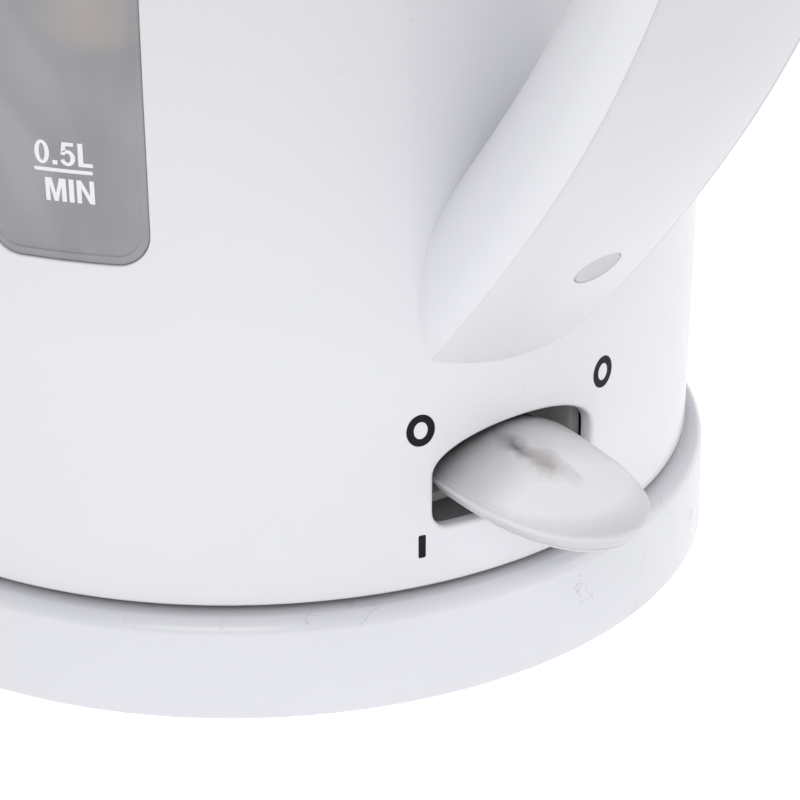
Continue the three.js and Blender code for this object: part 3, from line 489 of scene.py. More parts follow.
def moulded_group() -> bpy.types.NodeTree:
    """Moulded plastic: slow shade drift, patchy polish and a fine orange-peel height."""
    nodes, given, out = new_group(
        "moulded_plastic",
        {"Place": None, "Colour": (0.8, 0.8, 0.8, 1), "Drift": 0.03, "Polish": 0.2, "Patchiness": 0.08,
         "Grain Scale": 700.0},
        {"Colour": "NodeSocketColor", "Roughness": "NodeSocketFloat", "Height": "NodeSocketFloat"})
    slow = nodes.noise(given["Place"], 14.0, 3.0, 0.4)
    darker = nodes.mix(1.0, given["Colour"], (0.9, 0.9, 0.93, 1), "MULTIPLY")
    share = nodes.math("MULTIPLY", nodes.spread(slow, 0.35, 0.7), nodes.math("MULTIPLY", given["Drift"], 10.0))
    nodes.tree.links.new(nodes.mix(share, given["Colour"], darker), out["Colour"])
    patch = nodes.math("MULTIPLY", nodes.math("SUBTRACT", nodes.noise(given["Place"], 55.0, 4.0), 0.45),
                       given["Patchiness"])
    nodes.tree.links.new(nodes.math("ADD", given["Polish"], patch, clamp=True), out["Roughness"])
    nodes.tree.links.new(nodes.noise(given["Place"], given["Grain Scale"], 2.0), out["Height"])
    return nodes.tree


def scuff_group() -> bpy.types.NodeTree:
    """Sparse hairline squiggles: the borders of noise-warped cells, kept only in small scattered spots."""
    nodes, given, out = new_group(
        "hairline_scuffs", {"Place": None, "Scale": 330.0, "Width": 0.03, "Rarity": 0.7},
        {"Mask": "NodeSocketFloat"})
    warp = nodes.add("ShaderNodeVectorMath", operation="MULTIPLY_ADD")
    nodes.put(warp, 0, nodes.add("ShaderNodeTexNoise", Vector=given["Place"], Scale=420.0).outputs["Color"])
    nodes.put(warp, 1, (0.003, 0.003, 0.003))
    nodes.put(warp, 2, given["Place"])
    cells = nodes.add("ShaderNodeTexVoronoi", feature="DISTANCE_TO_EDGE", Vector=warp.outputs[0],
                      Scale=given["Scale"])
    thin = nodes.math("SUBTRACT", 1.0, nodes.math("DIVIDE", cells.outputs["Distance"], given["Width"]), clamp=True)
    rare = nodes.noise(given["Place"], 95.0, 1.0)
    kept = nodes.math("MULTIPLY", nodes.math("SUBTRACT", rare, given["Rarity"]), 25.0, clamp=True)
    nodes.tree.links.new(nodes.math("MULTIPLY", thin, kept, clamp=True), out["Mask"])
    return nodes.tree


def speck_group() -> bpy.types.NodeTree:
    """Dust specks: small dots of a cell pattern, with a random share of the cells left out."""
    nodes, given, out = new_group(
        "dust_specks", {"Place": None, "Scale": 260.0, "Size": 0.09, "Share": 0.04}, {"Mask": "NodeSocketFloat"})
    cells = nodes.add("ShaderNodeTexVoronoi", Vector=given["Place"], Scale=given["Scale"])
    dot = nodes.math("LESS_THAN", cells.outputs["Distance"], given["Size"])
    lucky = nodes.add("ShaderNodeSeparateColor", Color=cells.outputs["Color"]).outputs[0]
    nodes.tree.links.new(nodes.math("MULTIPLY", dot, nodes.math("LESS_THAN", lucky, given["Share"])), out["Mask"])
    return nodes.tree


@dataclass(frozen=True)
class Effects:
    """The shader groups that several finishes share, built once."""

    moulded: bpy.types.NodeTree
    scuffs: bpy.types.NodeTree
    specks: bpy.types.NodeTree

    @staticmethod
    def build() -> "Effects":
        """Builds the groups."""
        return Effects(moulded_group(), scuff_group(), speck_group())


def start_material(name: str, **sockets: object) -> tuple[bpy.types.Material, Nodes, bpy.types.Node]:
    """A material with one Principled shader, whose plain values are set on its own sockets.

    Args:
        name: The material's name.
        sockets: Socket names, with underscores for spaces, and their values.

    Returns:
        The material, its node builder and its shader node.
    """
    material = bpy.data.materials.new(name)
    material.use_nodes = True
    nodes = Nodes(material.node_tree)
    shader = material.node_tree.nodes["Principled BSDF"]
    for key, value in sockets.items():
        shader.inputs[key.replace("_", " ")].default_value = value
    return material, nodes, shader


def object_place(nodes: Nodes, stretch: tuple[float, float, float] = (1, 1, 1)) -> bpy.types.NodeSocket:
    """Object coordinates, stretched by a Mapping node."""
    source = nodes.add("ShaderNodeTexCoord").outputs["Object"]
    if stretch == (1, 1, 1):
        return source
    return nodes.add("ShaderNodeMapping", Vector=source, Scale=stretch).outputs[0]


@dataclass(frozen=True)
class Plastic:
    """Moulded plastic: drift, patchy polish, orange peel, hairline scuffs, a little dust, and painted shade that
    darkens it with height.
    """

    name: str
    colour: tuple[float, float, float, float]
    polish: float = 0.18
    drift: float = 0.02
    patchiness: float = 0.1
    grain: float = 700.0
    peel: float = 0.012
    scuffs: float = 0.15
    rarity: float = 0.72
    coat: float = 0.0
    glow: float = 0.0
    ior: float = 1.49
    # painted shade: how far the colour is darkened towards the top, and the heights in metres over which it grows
    painted_shade_by_height: float = 0.0
    painted_shade_span: tuple[float, float] = (0.062, 0.125)

    def build(self, effects: Effects) -> bpy.types.Material:
        """Builds the material from the shared effects."""
        material, nodes, shader = start_material(
            self.name, IOR=self.ior, Coat_Weight=self.coat, Coat_Roughness=0.05, Subsurface_Weight=self.glow,
            Subsurface_Scale=0.004, Subsurface_Radius=(1, 1, 1))
        place = object_place(nodes)
        base = nodes.add("ShaderNodeGroup", node_tree=effects.moulded, Place=place, Colour=self.colour,
                         Drift=self.drift, Polish=self.polish, Patchiness=self.patchiness, Grain_Scale=self.grain)
        scuff = nodes.add("ShaderNodeGroup", node_tree=effects.scuffs, Place=place,
                          Rarity=self.rarity).outputs["Mask"]
        speck = nodes.add("ShaderNodeGroup", node_tree=effects.specks, Place=place).outputs["Mask"]
        worn = nodes.mix(nodes.math("MULTIPLY", scuff, self.scuffs), base.outputs["Colour"],
                         (0.30, 0.30, 0.34, 1))
        dust_and_painted_shade = nodes.mix(nodes.math("MULTIPLY", speck, 0.12), worn, (0.5, 0.49, 0.47, 1))
        # Painted shade: the colour is mixed towards black with height, so the top is darker.
        if self.painted_shade_by_height:
            height = nodes.add("ShaderNodeSeparateXYZ", Vector=place).outputs[2]
            dust_and_painted_shade = nodes.mix(nodes.spread(height, *self.painted_shade_span, 0.0, self.painted_shade_by_height), dust_and_painted_shade, (0, 0, 0, 1))
        nodes.put(shader, "Base Color", dust_and_painted_shade)
        rough = nodes.math("ADD", base.outputs["Roughness"], nodes.math("MULTIPLY", scuff, 0.3 * self.scuffs),
                           clamp=True)
        nodes.put(shader, "Roughness", rough)
        bump = nodes.add("ShaderNodeBump", Strength=self.peel, Distance=0.001, Height=base.outputs["Height"])
        nodes.put(shader, "Normal", bump.outputs[0])
        return material


@dataclass(frozen=True)
class Metal:
    """Bare metal: a stretched noise brushes its roughness and height, and a slow one tints it."""

    name: str
    colour: tuple[float, float, float, float]
    tint: tuple[float, float, float, float]
    rough: tuple[float, float] = (0.22, 0.38)
    brush: tuple[float, float, float] = (1, 1, 1)
    scale: float = 600.0
    height: float = 0.05

    def build(self, effects: Effects) -> bpy.types.Material:
        """Builds the material; the shared effects give it its hairlines."""
        material, nodes, shader = start_material(self.name, Metallic=1.0)
        grain = nodes.noise(object_place(nodes, self.brush), self.scale, 3.0)
        place = object_place(nodes)
        colour = nodes.mix(nodes.spread(nodes.noise(place, 30.0, 3.0, 0.5), 0.35, 0.7), self.colour, self.tint)
        scuff = nodes.add("ShaderNodeGroup", node_tree=effects.scuffs, Place=place).outputs["Mask"]
        nodes.put(shader, "Base Color", colour)
        rough = nodes.spread(grain, 0.3, 0.7, *self.rough)
        nodes.put(shader, "Roughness", nodes.math("ADD", rough, nodes.math("MULTIPLY", scuff, 0.2), clamp=True))
        nodes.put(shader, "Normal", nodes.add("ShaderNodeBump", Strength=self.height, Distance=0.0005,
                                              Height=grain).outputs[0])
        return material


@dataclass(frozen=True)
class SmokedPane:
    """Smoked window plastic: deep grey with a slow cloudiness, polished, faintly see-through."""

    name: str = "smoked_window"

    def build(self, effects: Effects) -> bpy.types.Material:
        """Builds the material."""
        material, nodes, shader = start_material(self.name, IOR=1.49, Transmission_Weight=0.12, Coat_Weight=0.25,
                                                 Coat_Roughness=0.04)
        place = object_place(nodes, (1, 1, 0.6))
        cloud = nodes.noise(place, 30.0, 2.0, 1.6)
        colour = nodes.mix(nodes.spread(cloud, 0.38, 0.62), (0.395, 0.392, 0.412, 1), (0.315, 0.31, 0.325, 1))
        warm = nodes.spread(nodes.noise(object_place(nodes, (1, 1, 1.6)), 26.0, 1.0, 0.5), 0.6, 0.72, 0.0, 0.6)
        colour = nodes.mix(warm, colour, (0.50, 0.43, 0.38, 1))
        speck = nodes.add("ShaderNodeGroup", node_tree=effects.specks, Place=object_place(nodes), Share=0.03)
        nodes.put(shader, "Base Color", nodes.mix(nodes.math("MULTIPLY", speck.outputs["Mask"], 0.25), colour,
                                                  (0.6, 0.6, 0.6, 1)))
        nodes.put(shader, "Roughness", nodes.spread(cloud, 0.3, 0.7, 0.16, 0.26))
        peel = nodes.noise(object_place(nodes), 240.0, 2.0)
        nodes.put(shader, "Normal", nodes.add("ShaderNodeBump", Strength=0.02, Distance=0.001,
                                              Height=peel).outputs[0])
        return material


@dataclass(frozen=True)
class FrostedPaddle:
    """Frosted lever plastic: milky at the tip, with painted shade greying the root and the lowest parts, and the lamp
    showing through as smudges.

    Each of the marks is a smudge's centre, half sizes, strength and colour.
    """

    name: str = "frosted_lever"
    root: float = 0.074
    marks: tuple[tuple[tuple, tuple, float, tuple], ...] = (
        ((0.0838, -0.0022, 0.0445), (0.0075, 0.0022, 0.02), 0.9, (0.13, 0.11, 0.12, 1)),
        ((0.0899, -0.001, 0.0415), (0.0046, 0.0034, 0.02), 0.95, (0.40, 0.32, 0.30, 1)),
        ((0.0932, 0.0009, 0.0395), (0.0045, 0.0018, 0.02), 0.55, (0.55, 0.52, 0.52, 1)))

    def smudge(self, nodes: Nodes, place: object, centre: tuple[float, float, float],
               size: tuple[float, float, float]) -> bpy.types.NodeSocket:
        """A soft blob: one minus the scaled distance from a centre, smoothed by a power.

        Args:
            nodes: The node builder.
            place: Object coordinates.
            centre: The blob's centre, in metres.
            size: Its half sizes, in metres.

        Returns:
            The blob's mask.
        """
        scale = tuple(1 / part for part in size)
        shift = tuple(-middle * part for middle, part in zip(centre, scale))
        moved = nodes.add("ShaderNodeMapping", Vector=place, Location=shift, Scale=scale).outputs[0]
        length = nodes.add("ShaderNodeVectorMath", operation="LENGTH")
        nodes.put(length, 0, moved)
        return nodes.math("POWER", nodes.math("SUBTRACT", 1.0, length.outputs["Value"], clamp=True), 1.3)

    def build(self, effects: Effects) -> bpy.types.Material:
        """Builds the material."""
        material, nodes, shader = start_material(
            self.name, IOR=1.47, Subsurface_Weight=0.5, Subsurface_Scale=0.003, Subsurface_Radius=(1, 1, 1))
        place = object_place(nodes)
        along = nodes.add("ShaderNodeSeparateXYZ", Vector=place).outputs[0]
        cloud = nodes.noise(place, 90.0, 3.0, 0.6)
        edge = nodes.math("ADD", along, nodes.math("MULTIPLY", nodes.math("SUBTRACT", cloud, 0.5), 0.006))
        # Painted shade: the lever is painted grey towards its root, where it goes into the slot.
        milky_and_painted_shade = nodes.mix(nodes.spread(edge, self.root - 0.002, self.root + 0.017), (0.38, 0.36, 0.38, 1),
                          (0.97, 0.97, 0.98, 1))
        # Painted shade: below this height the lever's lowest parts are painted greyer.
        height = nodes.add("ShaderNodeSeparateXYZ", Vector=place).outputs[2]
        milky_and_painted_shade = nodes.mix(nodes.spread(height, 0.0352, 0.0382), (0.62, 0.62, 0.64, 1), milky_and_painted_shade)
        wavy = nodes.add("ShaderNodeVectorMath", operation="MULTIPLY_ADD")
        nodes.put(wavy, 0, nodes.add("ShaderNodeTexNoise", Vector=place, Scale=260.0).outputs["Color"])
        nodes.put(wavy, 1, (0.004, 0.004, 0.004))
        nodes.put(wavy, 2, place)
        for centre, size, strength, colour in self.marks:
            blob = self.smudge(nodes, wavy.outputs[0], centre, size)
            milky_and_painted_shade = nodes.mix(nodes.math("MULTIPLY", blob, strength), milky_and_painted_shade, colour)
        base = nodes.add("ShaderNodeGroup", node_tree=effects.moulded, Place=place, Colour=milky_and_painted_shade, Drift=0.03,
                         Polish=0.42, Patchiness=0.15, Grain_Scale=1500.0)
        nodes.put(shader, "Base Color", base.outputs["Colour"])
        nodes.put(shader, "Roughness", base.outputs["Roughness"])
        nodes.put(shader, "Normal", nodes.add("ShaderNodeBump", Strength=0.06, Distance=0.0006,
                                              Height=base.outputs["Height"]).outputs[0])
        return material


class Finish(Enum):
    """Every finish of the kettle, keyed by the record's slot that it belongs to."""

    # The jug, handle and cover whites carry painted shade that darkens them towards the top.
    jug_white = Plastic("jug_white_plastic", (0.815, 0.817, 0.845, 1), polish=0.16, scuffs=0.1, rarity=0.76,
                        painted_shade_by_height=0.12)
    base_white = Plastic("base_white_plastic", (0.785, 0.788, 0.82, 1), polish=0.2, scuffs=0.6, rarity=0.645)
    handle_white = Plastic("handle_white_plastic", (0.815, 0.818, 0.85, 1), polish=0.36, scuffs=0.08, peel=0.03,
                           painted_shade_by_height=0.05)
    cover_white = Plastic("cover_white_plastic", (0.775, 0.777, 0.80, 1), polish=0.37, scuffs=0.12, peel=0.03,
                          painted_shade_by_height=0.15)
    lid_white = Plastic("lid_white_plastic", (0.815, 0.817, 0.845, 1), polish=0.18, scuffs=0.1)
    button_white = Plastic("button_white_plastic", (0.78, 0.78, 0.81, 1), polish=0.34, scuffs=0.2, peel=0.04)
    inner_white = Plastic("inner_white_plastic", (0.76, 0.76, 0.775, 1), polish=0.42, scuffs=0.1, peel=0.08,
                          grain=1100.0)
    plug_grey = Plastic("plug_grey_plastic", (0.56, 0.565, 0.6, 1), polish=0.38, peel=0.08, grain=1200.0)
    window_smoke = SmokedPane()
    lever_frost = FrostedPaddle()
    frame_ivory = Plastic("ivory_nylon", (0.84, 0.83, 0.80, 1), polish=0.5, peel=0.1, grain=900.0, glow=0.3)
    black_plastic = Plastic("black_plastic", (0.022, 0.022, 0.025, 1), polish=0.42, peel=0.12, grain=1300.0,
                            scuffs=0.1)
    rubber_feet = Plastic("grey_rubber", (0.09, 0.09, 0.095, 1), polish=0.75, peel=0.25, grain=1400.0, scuffs=0.25)
    silicone_seal = Plastic("silicone", (0.66, 0.64, 0.6, 1), polish=0.48, peel=0.05, glow=0.4)
    steel_brushed = Metal("brushed_steel", (0.60, 0.60, 0.61, 1), (0.52, 0.52, 0.54, 1), (0.24, 0.42), (1, 14, 1),
                          260.0)
    steel_bright = Metal("bright_steel", (0.66, 0.66, 0.67, 1), (0.55, 0.56, 0.58, 1), (0.16, 0.3), (1, 1, 1), 900.0)
    aluminium_sheet = Metal("aluminium_sheet", (0.66, 0.67, 0.68, 1), (0.58, 0.58, 0.6, 1), (0.34, 0.5), (6, 1, 1),
                            300.0)
    brass_contacts = Metal("brass", (0.70, 0.50, 0.22, 1), (0.55, 0.37, 0.16, 1), (0.2, 0.36), (1, 1, 9), 300.0)
    lamp_glass = Plastic("lamp_glass", (0.72, 0.38, 0.22, 1), polish=0.1, glow=0.3, coat=0.4)
    lead_live = Plastic("brown_insulation", (0.11, 0.045, 0.02, 1), polish=0.45, grain=1500.0)
    lead_neutral = Plastic("blue_insulation", (0.03, 0.08, 0.32, 1), polish=0.45, grain=1500.0)
    lead_earth = Plastic("green_insulation", (0.14, 0.33, 0.03, 1), polish=0.45, grain=1500.0)
    print_black = Plastic("black_print", (0.010, 0.009, 0.011, 1), polish=0.5, peel=0.05, grain=1800.0, scuffs=0.1,
                          ior=1.25)
    print_white = Plastic("white_print", (0.86, 0.86, 0.87, 1), polish=0.4, peel=0.05, grain=1800.0, scuffs=0.1)


class Palette:
    """Builds each finish once and hands out riders and dresses the frame's own nodes."""

    def __init__(self) -> None:
        """Builds the shared effects and every finish."""
        effects = Effects.build()
        self.materials = {finish.name: finish.value.build(effects) for finish in Finish}

    def rider(self, body: str, finish: Finish) -> Rider:
        """A rider for one body in one finish."""
        return Rider(body, self.materials[finish.name], finish.name)

    def dress_frame(self) -> None:
        """Gives every node of the frame the finish of its slot in the record."""
        for row in frame["record"]["subparts"]:
            node = frame["nodes"][row["node"]]
            node.data.materials.clear()
            node.data.materials.append(self.materials[row["material_slot"]])


# ------------------------------------------------------------------------------------------ lettering
LETTER_GAP = 0.12
LETTER_STRETCH = 1.19


@dataclass(frozen=True)
class Glyph:
    """One letter: its width and closed outlines, in units of the cap height."""

    width: float
    outlines: tuple[Array, ...]


def oval(x: float, y: float, wide: float, high: float, start: float = 0, stop: float = 360, count: int = 40) -> Array:
    """Points of an elliptical arc: centre plus the half sizes times the cosine and sine of even degrees."""
    angle = np.radians(np.linspace(start, stop, count))
    return np.stack([x + wide * np.cos(angle), y + high * np.sin(angle)], 1)


def poly(*numbers: float) -> Array:
    """A polygon from a flat list of x and y numbers."""
    return np.asarray(numbers, float).reshape(-1, 2)


GLYPHS = {
    "0": Glyph(0.53, (oval(0.265, 0.5, 0.265, 0.51, 0, 351), oval(0.265, 0.5, 0.115, 0.39, 0, 351))),
    ".": Glyph(0.17, (poly(0, 0, 0.17, 0, 0.17, 0.17, 0, 0.17),)),
    "1": Glyph(0.36, (poly(0.2, 0, 0.36, 0, 0.36, 1, 0.24, 1, 0.18, 0.88, 0, 0.76, 0, 0.62, 0.12, 0.67, 0.2, 0.73),)),
    "5": Glyph(0.54, (np.concatenate([
        oval(0.265, 0.33, 0.275, 0.345, 200, 497, 36), poly(0.19, 0.62, 0.21, 0.86, 0.5, 0.86, 0.5, 1, 0.09, 1,
                                                            0.03, 0.47,
                                                         0.16, 0.45),
        oval(0.26, 0.325, 0.125, 0.215, 130, -160, 30)]),)),
    "7": Glyph(0.52, (poly(0, 1, 0.52, 1, 0.52, 0.87, 0.38, 0.66, 0.3, 0.4, 0.27, 0, 0.1, 0, 0.15, 0.35, 0.24, 0.62,
                           0.34,
                           0.85, 0, 0.85),)),
    "A": Glyph(0.74, (poly(0, 0, 0.29, 1, 0.45, 1, 0.74, 0, 0.57, 0, 0.51, 0.23, 0.23, 0.23, 0.17, 0),
                      poly(0.27, 0.37, 0.47, 0.37, 0.37, 0.75))),
    "I": Glyph(0.165, (poly(0, 0, 0.165, 0, 0.165, 1, 0, 1),)),
    "L": Glyph(0.5, (poly(0, 0, 0.5, 0, 0.5, 0.145, 0.165, 0.145, 0.165, 1, 0, 1),)),
    "M": Glyph(0.75, (poly(0, 0, 0.15, 0, 0.15, 0.76, 0.31, 0, 0.44, 0, 0.6, 0.76, 0.6, 0, 0.75, 0, 0.75, 1, 0.52, 1,
                           0.375, 0.3, 0.23, 1, 0, 1),)),
    "N": Glyph(0.62, (poly(0, 0, 0.15, 0, 0.15, 0.7, 0.46, 0, 0.62, 0, 0.62, 1, 0.47, 1, 0.47, 0.32, 0.16, 1, 0,
                           1),)),
    "X": Glyph(0.66, (poly(0, 0, 0.18, 0, 0.33, 0.34, 0.48, 0, 0.66, 0, 0.42, 0.51, 0.64, 1, 0.46, 1, 0.33, 0.69,
                           0.2, 1,
                           0.02, 1, 0.24, 0.51),)),
}


# ------------------------------------------------------------------------------------------ the jug
@dataclass(frozen=True)
class Wall:
    """The jug's wall: a slight flare, a parabola above the shoulder, and a pushed-out spout."""

    foot: float = 19.66
    foot_radius: float = 76.9
    flare: float = 0.03
    shoulder: float = 105.0
    curve: float = 0.00109
    rim: float = 202.0
    thick: float = 2.5
    arc_radius: float = 78.0
    spout_start: float = 146.0
    spout_reach: float = 25.0
    spout_half: float = 0.56
    spout_nose: float = 0.09
    spout_lift: float = 5.0
    spout_power: float = 1.7

    def radius(self, z: Array) -> Array:
        """Outer radius: the foot radius plus the flare, less a parabola of the height past the shoulder."""
        past = np.maximum(0, z - self.shoulder)
        return self.foot_radius + self.flare * (z - self.foot) - self.curve * past**2

    def spout_share(self, angle: Array) -> Array:
        """The spout's share round the axis: a soft tent about the -X direction, raised to a power."""
        off = np.pi - np.abs(np.mod(angle + np.pi, 2 * np.pi) - np.pi)
        soft = np.sqrt(off**2 + self.spout_nose**2) - self.spout_nose
        return np.maximum(0, 1 - soft / self.spout_half) ** self.spout_power

    def climb(self, z: Array) -> Array:
        """How far up the spout a height is, from 0 to 1."""
        return np.clip((z - self.spout_start) / (self.rim - self.spout_start), 0, 1)

    def point(self, u: Array, z: Array, inset: Array) -> Array:
        """A wall point at an arc length, a height and a distance below the outer face."""
        angle = u / self.arc_radius
        share, climb = self.spout_share(angle), self.climb(z)
        radius = self.radius(z) - inset + self.spout_reach * share * climb**1.5
        return np.stack([radius * np.cos(angle), radius * np.sin(angle), z + self.spout_lift * share * climb], -1)

    def arc_of(self, across: float, z: float) -> float:
        """The arc length that a straight distance across the wall covers at a height."""
        return self.arc_radius * math.asin(across / float(self.radius(np.float64(z))))


@dataclass
class Jug:
    """The jug's shell with its switch slot and windows, and the marks printed on it.

    The slot's patch is a half width in degrees, a middle height and a half height; a window's patch has its middle's
    turn in degrees before them.
    """

    palette: Palette
    wall: Wall = field(default_factory=Wall)
    slot_half: float = 16.2
    slot_bottom: float = 30.0
    slot_spring: float = 39.5
    slot_rise: float = 6.9
    slot_corner: float = 3.0
    window_turn: float = 54.15
    window_half: float = 13.5
    window_bottom: float = 79.0
    window_top: float = 176.0
    window_corner: float = 5.5
    slot_patch: tuple[float, float, float] = (16.5, 38.25, 13.75)
    slot_lip: float = 0.7
    window_patch: tuple[float, float, float, float] = (54.0, 15.0, 127.0, 57.0)
    window_lip: float = 0.25

    @property
    def turn_arc(self) -> float:
        """The arc length from the handle plane to a window's middle."""
        return math.radians(self.window_turn) * self.wall.arc_radius

    def slot_outline(self) -> Array:
        """The switch slot about its middle: a flat bottom with round corners under a half ellipse."""
        half = self.wall.arc_of(self.slot_half, self.slot_spring)
        middle = (self.slot_bottom + self.slot_spring + self.slot_rise) / 2
        corner = self.slot_corner
        turn = np.linspace(0, math.pi, 90)
        arch = np.stack([half * np.cos(turn), self.slot_spring + self.slot_rise * np.sin(turn)], 1)
        outline = evenly(path(
            arc((half - corner, self.slot_bottom + corner), corner, -90, 0, 24), arch,
            arc((-half + corner, self.slot_bottom + corner), corner, 180, 270, 24)), 480)
        return outline - np.array([0, middle])

    def window_outline(self, shrink: float = 0.0) -> Array:
        """A window's outline about its middle height, optionally drawn in on every side."""
        half = self.wall.arc_of(self.window_half, self.window_bottom) - shrink
        middle = (self.window_bottom + self.window_top) / 2
        outline = rounded_box(half, self.window_bottom + shrink, self.window_top - shrink,
                              self.window_corner - shrink)
        return outline - np.array([0, middle])

    def sheet(self) -> Sheet:
        """The wall's grid, finer round the slot, the windows' corners and the spout's nose."""
        per_degree = self.wall.arc_radius * math.pi / 180
        u_lines = per_degree * lines(
            (-180, -140, 40), (-140, -69, 24), (-69, -39, 40), (-39, -16.5, 10), (-16.5, 16.5, 66), (16.5, 39, 10),
            (39, 69, 40), (69, 140, 24), (140, 180, 40), last=False)
        v_lines = lines((self.wall.foot + 0.8, 24.5, 3), (24.5, 52, 25), (52, 70, 6), (70, 92, 20), (92, 160, 24),
                        (160, 184, 20), (184, self.wall.rim - 1.25, 8))
        slot_middle = (self.slot_bottom + self.slot_spring + self.slot_rise) / 2
        wide, level, high = self.slot_patch
        outline = self.slot_outline() + np.array([0, slot_middle - level])
        holes = [Hole((0, level), (wide * per_degree, high), outline, self.slot_lip, self.wall.thick)]
        window_middle = (self.window_bottom + self.window_top) / 2
        turn, wide, level, high = self.window_patch
        for side in (-1, 1):
            shift = np.array([side * (self.turn_arc - turn * per_degree), window_middle - level])
            holes.append(Hole((side * turn * per_degree, level), (wide * per_degree, high),
                              self.window_outline() + shift, self.window_lip, self.wall.thick))
        return Sheet(u_lines, v_lines, self.wall.point, holes)

    def build_shell(self) -> None:
        """The closed shell: outer and inner faces, hole patches, a round rim and a round foot."""
        sheet, thick = self.sheet(), self.wall.thick
        u = sheet.u_lines
        turn = np.linspace(0, math.pi, 9)[:, None]
        rim = self.wall.point(u[None], self.wall.rim - 1.25 + 1.25 * np.sin(turn) + 0 * u[None],
                              1.25 - 1.25 * np.cos(turn) + 0 * u[None])
        top = sheet.v_lines[-1]
        rim[..., 2] += self.wall.spout_lift * self.wall.spout_share(u / self.wall.arc_radius)[None] * (
            self.wall.climb(np.float64(top)) - self.wall.climb(self.wall.rim - 1.25 + 1.25 * np.sin(turn)))
        foot = self.wall.point(u[None], self.wall.foot + 0.8 - 0.8 * np.sin(turn) + 0 * u[None],
                               thick / 2 * (1 - np.cos(turn)) + 0 * u[None])
        shell = joined(sheet.face(0, ring=True), sheet.face(thick, ring=True), grid(rim, ring=True),
                       grid(foot, ring=True), *sheet.hole_patches())
        self.palette.rider("jug", Finish.jug_white).add("jug_shell", shell, ("jug_body",))

    def build_ledge(self) -> None:
        """The ledge that the lid sits on: a flat ring inside the wall, left open at the spout."""
        gap = 0.36
        angle = np.linspace(-math.pi + gap, math.pi - gap, 160)
        outer = self.wall.radius(np.float64(196.0)) - 1.2
        section = softened(np.array([[63.0, 193.5], [outer, 193.5], [outer, 196.0], [63.0, 196.0]]), 0.4)
        rows = np.stack([section[None, :, 0] * np.cos(angle)[:, None], section[None, :, 0] * np.sin(angle)[:, None],
                         np.broadcast_to(section[None, :, 1], (len(angle), len(section)))], -1)
        self.palette.rider("jug", Finish.jug_white).add("lid_ledge", grid(capped(rows), ring=True))

    def build_mould_line(self) -> None:
        """The faint raised mould line between the handle's foot and the slot."""
        v = np.linspace(48.7, 54.6, 24)
        section = np.array([[-0.16, 0.05], [-0.1, -0.02], [0.0, -0.035], [0.1, -0.02], [0.16, 0.05]])
        taper = np.sqrt(np.clip(np.sin(np.linspace(0.02, 0.98, 24) * math.pi), 0, 1))[:, None]
        rows = self.wall.point(0.4 + section[None, :, 0] * taper, v[:, None] + 0 * taper * section[None, :, 0],
                               section[None, :, 1] * taper + 0.02 * (1 - taper))
        self.palette.rider("jug", Finish.jug_white).add("mould_line", grid(capped(rows), ring=True), crease=80)

    def build_windows(self) -> None:
        """Each window: a bevelled pane a little below the wall's face, with a flange behind the wall."""
        middle = (self.window_bottom + self.window_top) / 2
        rider = self.palette.rider("jug", Finish.window_smoke)
        for side, name in ((-1, "window_front"), (1, "window_back")):
            inner = [(self.window_outline(0.0) * (1 - shrink / np.array([13.5, 48.5])), depth)
                     for shrink, depth in ((6.0, 4.2), (-2.6, 4.0), (-2.8, 3.1), (-2.6, 2.75))]
            outer = [(self.window_outline(shrink), depth) for shrink, depth in (
                (0.07, 2.75), (0.07, 1.2), (0.07, 0.62), (0.12, 0.46), (0.26, 0.38), (0.55, 0.36), (0.9, 0.34),
                (1.15, 0.3), (1.25, 0.22), (1.34, 0.2), (1.45, 0.22), (1.6, 0.38), (1.7, 0.4))]
            face = self.window_outline(1.7)
            hub = np.stack([np.zeros(len(face)), np.clip(face[:, 1], -36.5, 36.5)], 1)
            fill = [(hub + (face - hub) * share, 0.4) for share in (0.8, 0.6, 0.4, 0.2, 0)]
            fill_back = [(hub + (face - hub) * share, 4.2) for share in (0, 0.3, 0.6)]
            stack = fill_back + inner + outer + fill
            plan = np.stack([row for row, _ in stack])
            depth = np.array([value for _, value in stack])[:, None] + 0 * plan[..., 0]
            points = self.wall.point(side * self.turn_arc + plan[..., 0], middle + plan[..., 1], depth)
            rider.add(name + "_pane", grid(points, ring=True), (name,), crease=50)

    def print_outline(self, name: str, rider: Rider, rows: Array) -> None:
        """A thin print on the wall from rows of [u, z, inset] points, closed on itself."""
        rider.add(name, grid(self.wall.point(rows[..., 0], rows[..., 1], rows[..., 2]), ring=True, loop=True),
                  crease=60)

    def print_plate(self, name: str, rider: Rider, outline: Array, at: tuple[float, float],
                    depths: tuple[float, float]) -> None:
        """A thin plate on the wall: an outline about a place, closed to a point on its deep and its outer side.

        Args:
            name: The piece's name.
            rider: The rider that dresses it.
            outline: The plate's outline about its middle.
            at: The middle's arc length and height.
            depths: The insets of its deep and its outer side.
        """
        deep, proud = depths
        levels = [(0.0, deep), (1.0, deep), (1.0, proud), (0.0, proud)]
        rows = np.stack([np.stack([at[0] + outline[:, 0] * share, at[1] + outline[:, 1] * share,
                                   np.full(len(outline), inset)], -1) for share, inset in levels])
        self.print_outline(name, rider, rows)

    def build_marks(self) -> None:
        """The O and I marks beside the slot: flat elliptical rings and round-ended bars, a hair proud."""
        rider = self.palette.rider("jug", Finish.print_black)
        turn = np.linspace(0, 2 * math.pi, 72, endpoint=False)
        for side, name in ((-1, "near"), (1, "far")):
            band = [(2.45, 2.8, -0.03), (1.2, 1.5, -0.03), (1.2, 1.5, 0.05), (2.45, 2.8, 0.05)]
            ring = np.stack([np.stack([side * 18.7 + wide * np.cos(turn), 48.3 + high * np.sin(turn),
                                       np.full(72, inset)], -1) for wide, high, inset in band])
            self.print_outline(f"mark_off_{name}", rider, ring)
            bar = rounded_box(0.64, -2.05, 2.05, 0.22, 48)
            self.print_plate(f"mark_on_{name}", rider, bar, (side * 18.4, 27.4), (0.05, -0.03))

